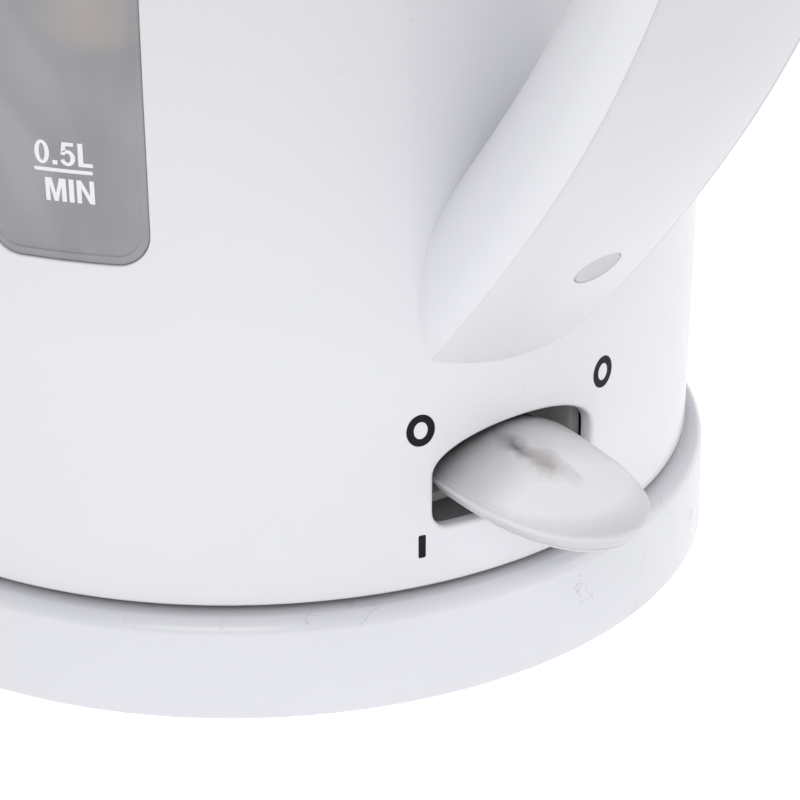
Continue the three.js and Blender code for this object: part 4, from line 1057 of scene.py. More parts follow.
    def wrap_text(self, words: str, height: float, at: tuple[float, float]) -> bpy.types.Object:
        """Lettering laid on the window: flat glyph shapes filled, thickened and bent onto the wall point by point.

        Args:
            words: The letters.
            height: Cap height in millimetres.
            at: Arc length of the right end and height of the baseline.

        Returns:
            The new mesh object, not yet dressed.
        """
        curve = bpy.data.curves.new("lettering", "CURVE")
        curve.dimensions, curve.fill_mode, curve.extrude, curve.offset = "2D", "BOTH", 0.05, 0.035
        pen = 0.0
        for letter in words:
            glyph = GLYPHS[letter]
            for outline in glyph.outlines:
                spline = curve.splines.new("POLY")
                spline.points.add(len(outline) - 1)
                place = np.concatenate([(outline + [pen, 0]) * [height * LETTER_STRETCH, height],
                                        np.zeros((len(outline), 1)),
                                        np.ones((len(outline), 1))], 1)
                spline.points.foreach_set("co", place.reshape(-1))
                spline.use_cyclic_u = True
            pen += glyph.width + LETTER_GAP
        source = bpy.data.objects.new("lettering", curve)
        bpy.context.scene.collection.objects.link(source)
        mesh = bpy.data.meshes.new_from_object(source.evaluated_get(bpy.context.evaluated_depsgraph_get()))
        bpy.data.objects.remove(source)
        flat = np.zeros(len(mesh.vertices) * 3)
        mesh.vertices.foreach_get("co", flat)
        flat = flat.reshape(-1, 3)
        start = at[0] - (pen - LETTER_GAP) * height * LETTER_STRETCH
        points = self.wall.point(start + flat[:, 0], at[1] + flat[:, 1], 0.39 - flat[:, 2]) * MM
        mesh.vertices.foreach_set("co", points.reshape(-1))
        mesh.update()
        return bpy.data.objects.new("lettering", mesh)

    def build_scale(self) -> None:
        """The water scale on both windows: underlined volumes with the lowest and highest fill named."""
        rider = self.palette.rider("jug", Finish.print_white)
        half, right, cap = 4.8, 5.05, 3.72
        line = rounded_box(half, -0.3, 0.3, 0.12, 48)
        for side, window in ((-1, "front"), (1, "back")):
            middle = side * self.turn_arc
            for number, (volume, z) in enumerate((("0.5L", 94.0), ("1.0L", 123.0), ("1.5L", 146.5), ("1.7L", 163.5))):
                self.print_plate(f"scale_line_{window}_{number}", rider, line, (middle + right - half, z),
                                 (0.45, 0.36))
                text = self.wrap_text(volume, cap, (middle + right, z + 0.95))
                text.name = f"scale_volume_{window}_{number}"
                rider.adopt(text)
            for words, z in (("MIN", 94.0), ("MAX", 163.5)):
                text = self.wrap_text(words, cap, (middle + right, z - 1.35 - cap))
                text.name = f"scale_{words.lower()}_{window}"
                rider.adopt(text)

    def build(self) -> None:
        """Builds every piece of the jug's wall."""
        self.build_shell()
        self.build_ledge()
        self.build_mould_line()
        self.build_windows()
        self.build_marks()
        self.build_scale()


# ------------------------------------------------------------------------------------------ the handle
@dataclass
class Handle:
    """The D-shaped handle: a keel-shaped grip, a crowned outer cover, the screw plug and the release button."""

    palette: Palette
    wall: Wall = field(default_factory=Wall)
    line: tuple[tuple[float, float], ...] = (
        (70, 53.3), (93.6, 79.6), (114.4, 106.7), (130.1, 133.6), (139.6, 157), (141.5, 180), (132.5, 202),
        (112, 215.5), (88, 219.4), (65.8, 219.6))
    half: float = 17.0
    bulge: float = 2.0
    bulge_depth: float = 6.0
    depth: float = 21.5
    crown: float = 3.2
    cover_end: float = 0.77
    plug_at: float = 36.2
    plug_radius: float = 4.0
    button: tuple[float, float, float] = (91.0, 10.0, 7.5)
    squeeze: float = 0.006
    cover_edge: float = 16.95
    cover_fall: float = 0.40
    cover_round: float = 0.8

    def __post_init__(self) -> None:
        """Samples the line densely by the uniform Catmull-Rom formula and measures its length."""
        points = np.asarray(self.line, float)
        padded = np.concatenate([points[:1], points, points[-1:]])
        at = np.linspace(0, len(points) - 1, 4001)
        cell = np.minimum(at.astype(int), len(points) - 2)
        t = (at - cell)[:, None]
        p0, p1, p2, p3 = (padded[cell + k] for k in range(4))
        v0, v1 = (p2 - p0) / 2, (p3 - p1) / 2
        self.samples = (2 * p1 - 2 * p2 + v0 + v1) * t**3 + (-3 * p1 + 3 * p2 - 2 * v0 - v1) * t**2 + v0 * t + p1
        steps = np.linalg.norm(np.diff(self.samples, axis=0), axis=1)
        self.run = np.concatenate([[0], np.cumsum(steps)])

    @property
    def length(self) -> float:
        """The handle line's whole length."""
        return float(self.run[-1])

    def place(self, across: Array, along: Array, depth: Array) -> Array:
        """A point of the handle: on the line at a distance along it, then across Y and inwards by a depth.

        The inward direction is the line's tangent turned a quarter. A point that would lie inside the jug's outer
        face is pushed out along its radius to just below that face. The outer part is drawn in by a slight squeeze.

        Args:
            across: Distances along Y.
            along: Distances along the handle line.
            depth: Distances from the line towards the jug.

        Returns:
            The points.
        """
        x, z = (np.interp(along, self.run, self.samples[:, k]) for k in (0, 1))
        step = 0.6
        ahead = [np.interp(along + step, self.run, self.samples[:, k]) for k in (0, 1)]
        behind = [np.interp(along - step, self.run, self.samples[:, k]) for k in (0, 1)]
        tx, tz = ahead[0] - behind[0], ahead[1] - behind[1]
        size = np.hypot(tx, tz)
        x, z = x - tz / size * depth, z + tx / size * depth
        x = x - self.squeeze * np.maximum(x - 100, 0)
        radius, least = np.hypot(x, across), self.wall.radius(z) - 0.8
        inside = (z < self.wall.rim) & (radius < least)
        upper = along > 0.8 * self.length
        push = np.where(inside & ~upper, least / np.maximum(radius, 1), 1.0)
        z = np.where(upper & (radius < least), np.maximum(z, self.wall.rim + 0.35), z)
        return np.stack([x * push, across * push, z], -1)

    def crown_at(self, across: Array) -> Array:
        """Height of the crowned face above the line: the crown less a parabola across."""
        return self.crown * (1 - (across / self.half) ** 2)

    def side_line(self, count: int) -> Array:
        """The grip's side and keel from the crease to the keel's middle, as [across, depth] points.

        The side swells by a parabola down to the bulge depth; from there the keel is a squarish quarter ellipse.
        """
        into = np.linspace(0.05, self.bulge_depth, count // 3, endpoint=False)
        upper = np.stack([self.half + self.bulge * (1 - (1 - into / self.bulge_depth) ** 2), into], 1)
        sweep = np.linspace(0, math.pi / 2, count - count // 3)
        lower = np.stack([(self.half + self.bulge) * np.cos(sweep) ** 0.9,
                          self.bulge_depth + (self.depth - self.bulge_depth) * np.sin(sweep) ** 0.87], 1)
        return np.concatenate([upper, lower])

    def stations(self, stop: float) -> Array:
        """Distances along the line: a millimetre apart near the foot, wider higher up."""
        return np.concatenate([np.arange(0, 46, 0.8), np.arange(46, stop - 0.1, 2.0), [stop]])

    def build_grip(self) -> None:
        """The grip: under the cover it has a sunk seat, past it a crowned face with the button's pocket."""
        seam = self.cover_end * self.length
        side = self.side_line(42)
        ring_side = np.concatenate([side, (side * [-1, 1])[::-1][1:]])
        seat_across = np.array([-self.half + 0.02, -self.half + 2.4, 0, self.half - 2.4, self.half - 0.02])
        seat = np.stack([seat_across, np.array([0.2, 2.2, 2.2, 2.2, 0.2])], 1)
        ring = np.concatenate([ring_side, seat])
        along = self.stations(seam)
        lower = self.place(np.broadcast_to(ring[None, :, 0], (len(along), len(ring))),
                           along[:, None] + 0 * ring[None, :, 0],
                           np.broadcast_to(ring[None, :, 1], (len(along), len(ring))))
        upper_along = np.concatenate([[seam], np.arange(seam + 1.5, self.length - 2.2, 1.5)])
        tip = self.length - 2.0 + 2.0 * np.sin(np.linspace(0, math.pi / 2, 6))
        inset = np.concatenate([np.zeros(len(upper_along)), 2.0 * (1 - np.cos(np.linspace(0, math.pi / 2, 6)))])
        upper_along = np.concatenate([upper_along, tip])
        scale = 1 - inset[:, None] / 12
        centre_depth = 8.0
        upper = self.place(ring_side[None, :, 0] * scale, upper_along[:, None] + 0 * ring_side[None, :, 0],
                           centre_depth + (ring_side[None, :, 1] - centre_depth) * scale)
        across = np.concatenate([[-self.half], np.linspace(-9, 9, 73), [self.half]])
        across = np.unique(np.concatenate([np.linspace(-self.half, -9, 9), across, np.linspace(9, self.half, 9)]))
        face_line = upper_along[inset == 0]
        button_x, long_half, wide_half = self.button
        at_button = float(np.interp(-button_x, -self.samples[3000:, 0], self.run[3000:]))
        low, high = at_button - long_half - 4, at_button + long_half + 4
        v_lines = np.concatenate([face_line[face_line < low - 0.4], np.linspace(low, high, 70),
                                  face_line[face_line > high + 0.4]])
        pocket = Hole((0, at_button), (9 + 1e-6, long_half + 4), rounded_box(wide_half + 0.35, -long_half - 0.35,
                      long_half + 0.35, 4.3), 0.5, 16.5, through=False)
        sheet = Sheet(across, v_lines, self.grip_face, [pocket])
        tip_rows = self.place(across[None] * scale[inset > 0], upper_along[inset > 0][:, None] + 0 * across[None],
                              centre_depth + (self.face_depth(across, 0)[None] - centre_depth) * scale[inset > 0])
        last = self.place(across[None], v_lines[-1:][:, None] + 0 * across[None], self.face_depth(across, 0)[None])
        side_rows = self.place(ring_side[None, :, 0] + 0 * v_lines[:, None],
                               v_lines[:, None] + 0 * ring_side[None, :, 0],
                               ring_side[None, :, 1] + 0 * v_lines[:, None])
        end = np.concatenate([upper[inset > 0][-1], tip_rows[-1][1:-1]])
        hub = np.broadcast_to(end.mean(0), end.shape)
        wall_ring = np.concatenate([lower[-1][:len(ring_side)], self.place(
            across[1:-1], np.full(len(across) - 2, seam), self.face_depth(across[1:-1], 0))])
        seat_ring = np.concatenate([lower[-1][:len(ring_side)], self.place(
            across[1:-1], np.full(len(across) - 2, seam), np.full(len(across) - 2, 2.2))])
        patches = [
            grid(capped(lower)[:-1], ring=True),
            grid(side_rows),
            grid(np.concatenate([side_rows[-1:], upper[inset > 0]])),
            sheet.face(), *sheet.hole_patches(),
            grid(np.concatenate([last, tip_rows])),
            grid(np.stack([end, hub]), ring=True),
            grid(np.stack([seat_ring, wall_ring])[:, len(ring_side):]),
        ]
        self.palette.rider("jug", Finish.handle_white).add("handle_grip_shell", joined(*patches), ("handle_grip",),
                                                           40)

    def face_depth(self, across: Array, along: Array) -> Array:
        """Depth of the crowned face: nothing at the crease, minus the crown in the middle."""
        return 0.05 - self.crown_at(across) * (1 + 0.05 / self.crown) + 0 * along

    def grip_face(self, across: Array, along: Array, depth: Array) -> Array:
        """The grip's crowned upper face; depths into it run straight down."""
        down = np.array([0, 0, 1.0])
        return self.place(across, along, self.face_depth(across, along)) - np.asarray(depth)[..., None] * down

    def cover_narrowing(self, along: Array) -> Array:
        """The cover's share of its full width, so that the seam beside it opens with height, then stays even."""
        return 1 - (0.006 + 0.012 * np.clip((along - 14) / 90, 0, 1))

    def cover_lip(self, across: Array) -> Array:
        """How far the cover's edge has fallen: a power of the share of the way across its rounding."""
        past = np.abs(across) - self.cover_edge + self.cover_round
        return self.cover_fall * np.clip(past / self.cover_round, 0, 1) ** 2.2

    def cover_face(self, across: Array, along: Array, depth: Array) -> Array:
        """The cover's crowned face with its rounded edges."""
        return self.place(across * self.cover_narrowing(along), along,
                          -self.crown_at(across) + self.cover_lip(across) + depth)

    def build_cover(self) -> None:
        """The outer cover: a crowned strip with rounded edges and a round recess for the plug."""
        seam = self.cover_end * self.length - 0.35
        edge, narrow, soften = self.cover_edge, self.cover_narrowing, self.cover_lip
        across = np.unique(np.concatenate([np.linspace(-edge, -8, 14), np.linspace(-8, 8, 33),
                                           np.linspace(8, edge, 14)]))
        low, high = self.plug_at - 8, self.plug_at + 8
        v_lines = np.concatenate([np.arange(4.0, low - 0.3, 0.8), np.linspace(low, high, 33),
                                  np.arange(high + 2, seam - 1, 2.0), [seam]])
        turn = np.linspace(0, 2 * math.pi, 240, endpoint=False)
        bore = np.stack([(self.plug_radius + 0.1) * np.cos(turn), (self.plug_radius + 0.1) * np.sin(turn)], 1)
        recess = Hole((0, self.plug_at), (8, 8), bore, 0.12, 1.2, through=False)
        sheet = Sheet(across, v_lines, self.cover_face, [recess])
        lip = self.cover_fall - self.crown_at(np.float64(edge))
        under = np.array([[edge, lip], [edge - 0.1, 0.6], [self.half - 2.4, 1.9], [0, 1.9],
                          [-self.half + 2.4, 1.9], [-edge + 0.1, 0.6], [-edge, lip]])
        under_rows = self.place(under[None, :, 0] * narrow(v_lines[:, None]),
                                v_lines[:, None] + 0 * under[None, :, 0],
                                under[None, :, 1] + 0 * v_lines[:, None])
        ends = []
        for index in (0, -1):
            face = self.place(across * narrow(v_lines[index]), np.full(len(across), v_lines[index]),
                              -self.crown_at(across) + soften(across))
            ring = np.concatenate([face, under_rows[index][1:-1]])
            ends.append(grid(np.stack([ring, np.broadcast_to(ring.mean(0), ring.shape)]), ring=True))
        self.palette.rider("jug", Finish.cover_white).add(
            "handle_cover_shell", joined(sheet.face(), *sheet.hole_patches(), grid(under_rows), *ends),
            ("handle_cover",), 50)

    def build_plug(self) -> None:
        """The screw plug: a shallow dished disc set just below the cover's crown."""
        radius = self.plug_radius
        rows = np.array([[0, 1.1], [radius - 0.1, 1.1], [radius, 1.0], [radius, 0.3], [radius - 0.1, 0.16],
                         [radius - 0.35, 0.12], [radius - 0.7, 0.22], [radius / 2, 0.42], [0, 0.48]])
        turn = np.linspace(0, 2 * math.pi, 96, endpoint=False)
        across = rows[:, :1] * np.cos(turn)
        along = self.plug_at + rows[:, :1] * np.sin(turn)
        points = self.place(across, along, rows[:, 1:] - self.crown_at(across))
        self.palette.rider("jug", Finish.plug_grey).add("screw_plug_disc", grid(points, ring=True), ("screw_plug",),
                                                        40)

    def build_button(self) -> None:
        """The release button: a soft-edged key with a thumb hollow, fine ribs and a hollow underside."""
        x, long_half, wide_half = self.button
        top, seat, bottom = 224.0, 219.9, 215.5
        hub = np.array([x, 0.0])
        outline = rounded_box(long_half, -wide_half, wide_half, 4.0, 160) + hub
        rows = [(0, 1.2, seat), (0.5, 1.2, seat), (1, 1.2, seat), (1, 1.1, bottom), (1, 0.3, bottom)]
        rows += [(1, 0.0, bottom + 0.5)]
        rows += [(1, 1.2 - 1.2 * math.sin(t), top - 1.2 + 1.2 * math.cos(t)) for t in np.radians([90, 70, 50, 30,
                                                                                                  10])]
        rows += [(share, 1.2, top) for share in np.linspace(1, 0, 24)]
        scale, inset, height = np.array(rows).T[..., None]
        share = (scale * (1 - inset / np.linalg.norm(outline - hub, axis=1)))[..., None]
        plan = hub + (outline - hub) * share
        hollow = np.clip(1 - ((plan[..., 0] - x) / (long_half - 1.6)) ** 2, 0, 1) * np.clip(
            1 - (plan[..., 1] / (wide_half - 1.4)) ** 2, 0, 1)
        ribs = 0.12 * np.cos((plan[..., 0] - x) * 2 * math.pi / 2.4)
        lowered = height - np.where(height > top - 0.01, (0.55 - ribs) * hollow**0.5, 0)
        points, cells = grid(np.concatenate([plan, lowered[..., None]], -1), ring=True)
        stem = turned(softened(np.array([[0, 210.5], [3.0, 210.5], [3.0, seat + 0.5], [0, seat + 0.5]]), 0.3,
                               loop=False), 32, at=(x, 0))
        rider = self.palette.rider("release_button", Finish.button_white)
        rider.add("release_key", (points, cells), ("release_button",), 50)
        rider.add("release_key_stem", stem)

    def build(self) -> None:
        """Builds every piece of the handle."""
        self.build_grip()
        self.build_cover()
        self.build_plug()
        self.build_button()


# ------------------------------------------------------------------------------------------ the switch lever
@dataclass
class Lever:
    """The translucent paddle that works the switch, drawn about its pivot and tilted down."""

    palette: Palette
    pivot: tuple[float, float] = (58.0, 39.8)
    tilt: float = 3.0
    half: float = 14.2
    neck: float = 12.4
    shoulder: float = 18.0
    tip: float = 46.8
    roundness: float = 2.5
    spine_end: float = 27.0
    rise: float = 7.2
    crest: float = 18.9
    front: float = 27.9
    back: float = 10.2

    def outline(self) -> Array:
        """The plan: a straight neck, then an oval tip whose half width is the root of 1 - share to a power."""
        share = np.sin(np.linspace(0, math.pi / 2, 80))
        x = self.shoulder + (self.tip - self.shoulder) * share
        y = self.half * np.sqrt(np.clip(1 - share**self.roundness, 0, 1))
        near = path((-7, -self.neck), (8, -self.neck), (14, -self.half), np.stack([x, -y], 1))
        return evenly(np.concatenate([near, (near * [1, -1])[::-1]]), 300)

    def dome(self, x: Array) -> Array:
        """The dome's height above the rim: a parabola along the lever, highest where it passes the slot."""
        share = (x - self.crest) / np.where(x > self.crest, self.front, self.back)
        return self.rise * np.maximum(0, 1 - share**2)

    def placed(self, points: Array) -> Array:
        """Points about the pivot, turned by the tilt round Y and moved to the pivot."""
        angle = math.radians(self.tilt)
        x = points[..., 0] * math.cos(angle) + points[..., 2] * math.sin(angle)
        z = -points[..., 0] * math.sin(angle) + points[..., 2] * math.cos(angle)
        return np.stack([x + self.pivot[0], points[..., 1], z + self.pivot[1]], -1)

    def paddle(self) -> Patch:
        """The paddle: a flat underside, a drafted rim with a parting line, and a dome over a straight spine.

        Every row is the outline drawn towards the spine. The dome's height is its height along the lever times one
        less the square of the share of the way from the spine to the rim.
        """
        rim = [(6.0, -5.0), (3.0, -5.0), (2.55, -4.97), (2.25, -4.82), (2.1, -4.62), (1.98, -4.42), (2.06, -4.33),
               (2.0, -4.22), (1.84, -4.14), (1.4, -3.6), (0.85, -2.95), (0.38, -2.35), (0.1, -1.95), (0.0, -1.7),
               (0.03, -1.42), (0.2, -1.22), (0.5, -1.12)]
        outline = self.outline()
        spine = np.stack([np.clip(outline[:, 0], 0, self.spine_end), 0 * outline[:, 0]], 1)
        reach = np.linalg.norm(outline - spine, axis=1)
        share = [np.zeros(len(outline))] + [1 - inset / reach for inset, _ in rim]
        height = [np.full(len(outline), rim[0][1])] + [np.full(len(outline), level) for _, level in rim]
        for part in np.concatenate([[0.955, 0.94], np.linspace(0.92, 0, 24)]):
            plan = spine[:, 0] + (outline[:, 0] - spine[:, 0]) * part
            share.append(np.full(len(outline), part))
            height.append(rim[-1][1] + self.dome(plan) * np.maximum(0, 0.945 - part**2) / 0.945)
        share, height = np.stack(share)[..., None], np.stack(height)[..., None]
        plan = spine[None] + (outline - spine)[None] * share
        return grid(np.concatenate([plan, height], -1), ring=True)

    def build(self) -> None:
        """Builds the paddle and the hub that it swings on."""
        points, cells = self.paddle()
        hub = turned(np.array([[1.8, -self.neck - 2], [3.1, -self.neck - 2], [3.4, -self.neck - 1.7],
                               [3.4, self.neck + 1.7], [3.1, self.neck + 2], [1.8, self.neck + 2]]), 48, loop=True)
        rider = self.palette.rider("switch_lever", Finish.lever_frost)
        rider.add("lever_paddle", (self.placed(points), cells), ("switch_lever",), 50)
        rider.add("lever_hub", (self.placed(hub[0][:, [0, 2, 1]]), hub[1]), (), 40)


# ------------------------------------------------------------------------------------------ the lid
@dataclass
class Lid:
    """The hinged lid: a domed shell cut straight at the hinge, its insert, its seal and the hinge knuckles."""

    palette: Palette
    radius: float = 69.2
    edge: float = 196.6
    shoulder: float = 201.0
    rise: float = 10.0
    chord: float = 57.0
    hinge: tuple[float, float] = (62.0, 203.0)
    barrel: float = 3.4

    def outline(self, radius: float, chord: float, corner: float = 2.5, count: int = 360) -> Array:
        """A circle cut off by a chord on the hinge side, with the two corners eased round."""
        angle = math.degrees(math.acos(chord / radius))
        rough = evenly(path(arc((0, 0), radius, angle, 360 - angle, 300)), 4 * count)
        smooth = rough.copy()
        width = int(corner / (2 * math.pi * radius / (4 * count)))
        kernel = np.hanning(2 * width + 1)[:, None]
        near = rough[:, 0] > chord - 3 * corner
        padded = np.concatenate([rough[-width:], rough, rough[:width]])
        eased = sum(padded[k:k + len(rough)] * kernel[k] for k in range(2 * width + 1)) / kernel.sum()
        smooth[near] = eased[near]
        return evenly(smooth, count)

    def dome(self, x: Array, y: Array) -> Array:
        """Height of the dome: the shoulder plus the rise less a parabola of the distance from the axis."""
        return self.shoulder + self.rise * (1 - (x**2 + y**2) / self.radius**2)

    def build_shell(self) -> None:
        """The dome with a soft edge, a thin skirt and a hollow underside."""
        outline = self.outline(self.radius, self.chord)
        rows = np.asarray(
            [(self.radius, -2.4), (50, -2.4), (30, -2.4), (12, -2.4), (2.6, -2.4), (2.4, -3.0), (2.4, -99),
             (2.2, -100),
             (0.2, -100), (0, -99), (0, -1.2), (0.1, -0.7), (0.35, -0.3), (0.8, -0.08), (1.4, 0), (6, 0), (12, 0),
             (20, 0),
             (28, 0), (38, 0), (48, 0), (58, 0), (self.radius, 0)], float)
        points, cells = lofted(outline, rows, (0.0, 0.0, 0.0))
        points = points.copy()
        code = points[:, 2]
        skirt = code <= -99
        height = self.dome(points[:, 0], points[:, 1]) + np.where(skirt, 0, code)
        points[:, 2] = np.where(skirt, self.edge + (code + 100) * 0.3, height)
        back = (points[:, 0] > self.chord - 3.4) & (np.abs(points[:, 1]) < 5.2)
        points[:, 2] = np.where(back, np.minimum(points[:, 2], 202.6), points[:, 2])
        self.palette.rider("lid", Finish.lid_white).add("lid_dome", (points, cells), ("lid_shell",), 40)

    def build_insert(self) -> None:
        """The insert under the dome, a shallow cup with a groove for the seal, and the seal's lipped ring."""
        outline = self.outline(60.0, self.chord - 3, count=300)
        rows = np.asarray([(60, 188.6), (40, 188.5), (10, 188.4), (7, 188.2), (5.5, 187.6), (4, 187.5), (2.6, 187.6),
                           (1.2, 188.4), (0.5, 189.5), (0.5, 190.6), (2.4, 190.7), (2.4, 193), (0.2, 193), (0, 193.2),
                           (0, 196), (0.2, 196.2), (60, 196.2)], float)
        patch = lofted(outline, rows, (0, 0, 0))
        self.palette.rider("lid", Finish.inner_white).add("lid_cup", patch, ("lid_insert",), 40)
        lip = self.outline(61.8, self.chord - 3 + 1.2, count=300)
        band = np.asarray([(4.0, 191.0), (1.4, 191.0), (0.4, 191.3), (0.0, 191.8), (0.4, 192.3), (1.4, 192.7),
                           (4.0, 192.7)], float)
        points, cells = lofted(lip, band, (0, 0, 0))
        wide = len(lip)
        closing = np.stack([np.arange(wide), np.roll(np.arange(wide), -1),
                            np.roll(np.arange(wide), -1) + (len(band) - 1) * wide,
                            np.arange(wide) + (len(band) - 1) * wide], 1)
        self.palette.rider("lid", Finish.silicone_seal).add("lid_lip_seal",
                                                            (points, np.concatenate([cells, closing])),
                                                            ("lid_seal",), 60)

    def build_knuckles(self) -> None:
        """The two hinge knuckles: barrels on short necks that blend into the lid's straight edge."""
        x, z = self.hinge
        rider = self.palette.rider("lid", Finish.lid_white)
        for side, name in ((-1, "near"), (1, "far")):
            turn = np.linspace(0, 2 * math.pi, 64, endpoint=False)
            low = np.stack([x + self.barrel * np.cos(turn), z + self.barrel * np.sin(turn)], 1)
            neck = (low[:, 0] < x) & (low[:, 1] < z + 0.6)
            low[neck, 0] = np.minimum(low[neck, 0], x - 7.2 * np.clip((z + 0.6 - low[neck, 1]) / 1.2, 0, 1))
            low[:, 1] = np.maximum(low[:, 1], z - 2.6 - 0.8 * (low[:, 0] > x - 3))
            y = side * np.array([11.0, 11.0, 11.25, 15.75, 16.0, 16.0])
            shrink = np.array([0.86, 0.93, 1, 1, 0.93, 0.86])
            centre = np.array([x - 1, z - 0.6])
            rows = np.stack([np.stack([centre[0] + (low[:, 0] - centre[0]) * s, np.full(64, at),
                                       centre[1] + (low[:, 1] - centre[1]) * s], -1) for at, s in zip(y, shrink)])
            rider.add(f"lid_knuckle_{name}", grid(capped(rows), ring=True), (), 50)

    def build(self) -> None:
        """Builds the lid's pieces."""
        self.build_shell()
        self.build_insert()
        self.build_knuckles()


# ------------------------------------------------------------------------------------------ base and underside
@dataclass
class PowerBase:
    """The power base: housing, underside, feet, screws, the connector tower and its swivelling cap."""

    palette: Palette
    radius: float = 80.0
    bottom: float = 0.9
    top: float = 18.5
    fillet: float = 2.6
    dish_radius: float = 70.0
    dish: float = 16.8

    def build_housing(self) -> None:
        """The housing's profile: straight side, quarter-round edge, flat rim, dish and a collar at the tower."""
        wall = 2.4
        outer = path((self.radius - wall, self.bottom), (self.radius - 0.4, self.bottom),
                     arc((self.radius - 0.5, self.bottom + 0.5), 0.5, -60, 0, 5),
                     arc((self.radius - self.fillet, self.top - self.fillet), self.fillet, 0, 90, 14),
                     arc((self.dish_radius + 2.4, self.top - 0.6), 0.6, 90, 150, 5),
                     arc((self.dish_radius - 0.2, self.dish + 0.6), 0.6, -40, -90, 5), (60, self.dish),
                     (45, self.dish),
                     (30, self.dish), arc((23.2, self.dish + 0.5), 0.5, 270, 200, 5),
                     arc((22.0, self.dish + 0.9), 0.3, 20, 90, 4), (19.5, self.dish + 1.2), (19.3, self.dish + 1.0),
                     (19.3, 14.4), (69, 14.4), (71, 16.1), (76.6, 16.1), (77.6, 15.1))
        self.palette.rider("power_base", Finish.base_white).add(
            "base_shell", turned(outer, 288, loop=True), ("base_housing",), 40)

    def build_cover(self) -> None:
        """The underside: a plate with a raised middle pad and three fine moulded rings."""
        profile = path((0, 0.2), (17.6, 0.2), (18.0, 0.35), (18.6, 1.2), (34, 1.2), (34.3, 1.6), (35.7, 1.6),
                       (36, 1.2),
                       (55, 1.2), (55.3, 1.6), (56.2, 1.6), (56.5, 1.2), (76.9, 1.2), (77.2, 1.5), (77.2, 3.4),
                       (0, 3.4))
        self.palette.rider("power_base", Finish.base_white).add(
            "base_underside", turned(profile, 192), ("base_cover",), 40)
        rider = self.palette.rider("power_base", Finish.rubber_feet)
        for number in range(1, 5):
            at = centre_of(f"base_foot_{number}")
            foot = path((0, 0), (4.2, 0.0), (4.5, 0.25), (4.8, 0.0), (5.6, 0.0), (5.9, 0.2), (6, 0.6), (5.9, 1.2),
                        (0, 1.3))
            rider.add(f"base_pad_{number}", turned(foot, 64, at=at), (f"base_foot_{number}",), 45)
        seats = self.palette.rider("power_base", Finish.black_plastic)
        heads = self.palette.rider("power_base", Finish.steel_bright)
        for number in range(1, 4):
            at = centre_of(f"base_screw_{number}")
            ring = path((3.0, 1.0), (3.3, 1.0), (3.3, 1.3), (3.0, 1.4))
            seats.add(f"screw_seat_{number}", turned(ring, 48, loop=True, at=at), (), 45)
            heads.add(f"screw_head_{number}", self.screw_head(at, 1.05), (f"base_screw_{number}",), 45)

    @staticmethod
    def screw_head(at: tuple[float, float], level: float) -> Patch:
        """A pan head seen from below with a cross recess, which is sunk where either arm of the cross runs."""
        profile = path((0, level), (0.4, level), (0.8, level), (1.2, level), (1.6, level), (2.0, level + 0.08),
                       (2.5, level + 0.35), (2.7, level + 0.8), (2.7, level + 1.2), (0, level + 1.2))
        points, cells = turned(profile, 64, at=at)
        x, y = points[:, 0] - at[0], points[:, 1] - at[1]
        arm = ((np.abs(x) < 0.4) & (np.abs(y) < 1.5)) | ((np.abs(y) < 0.4) & (np.abs(x) < 1.5))
        face = points[:, 2] < level + 0.05
        points = points.copy()
        points[:, 2] += np.where(arm & face, 0.7, 0)
        return points, cells

    def build_connector(self) -> None:
        """The tower, and the cap with its pin hole and two ring grooves, all with eased edges."""
        tower = softened(np.array([[17.0, 14.0], [17.0, 27.5], [19.0, 27.5], [19.0, 14.1], [24.0, 14.1], [24.0, 11.5],
                                   [4.0, 11.5], [4.0, 13.5], [17.0, 13.5]]), 0.5)
        self.palette.rider("power_base", Finish.black_plastic).add(
            "connector_tower", turned(tower, 128, loop=True), ("base_connector",), 40)
        cap = softened(np.array([
            [3.4, 16.0], [16.3, 16.0], [16.3, 28.6], [14.9, 30.0], [13.3, 30.0], [13.3, 21.0], [11.1, 21.0],
            [11.1, 30.0],
            [8.6, 30.0], [8.6, 21.0], [6.4, 21.0], [6.4, 30.0], [3.4, 30.0]]), 0.45)
        self.palette.rider("swivel_cap", Finish.black_plastic).add(
            "swivel_cap_top", turned(cap, 128, loop=True), ("swivel_cap",), 40)

    def build_gland(self) -> None:
        """The cord gland: a ribbed rubber bush that stands in the housing's wall."""
        low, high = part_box("cord_gland")
        turn = math.atan2((low.y + high.y) / 2, (low.x + high.x) / 2)
        profile = np.array([[2.6, 71], [4.5, 71], [4.5, 79.6], [6.0, 80.0], [6.4, 80.5], [6.4, 81.3], [6.0, 82.0],
                            [4.4, 82.1], [3.2, 82.1], [2.6, 81.4]])
        around = np.linspace(0, 2 * math.pi, 64, endpoint=False)
        out, side, up = profile[:, 1:], profile[:, :1] * np.cos(around), profile[:, :1] * np.sin(around)
        rows = np.stack([out * math.cos(turn) - side * math.sin(turn), out * math.sin(turn) + side * math.cos(turn),
                         8.0 + up], -1)
        self.palette.rider("power_base", Finish.black_plastic).add(
            "gland_bush", grid(rows, ring=True, loop=True), ("cord_gland",), 40)

    def build(self) -> None:
        """Builds the base's pieces."""
        self.build_housing()
        self.build_cover()
        self.build_connector()
        self.build_gland()


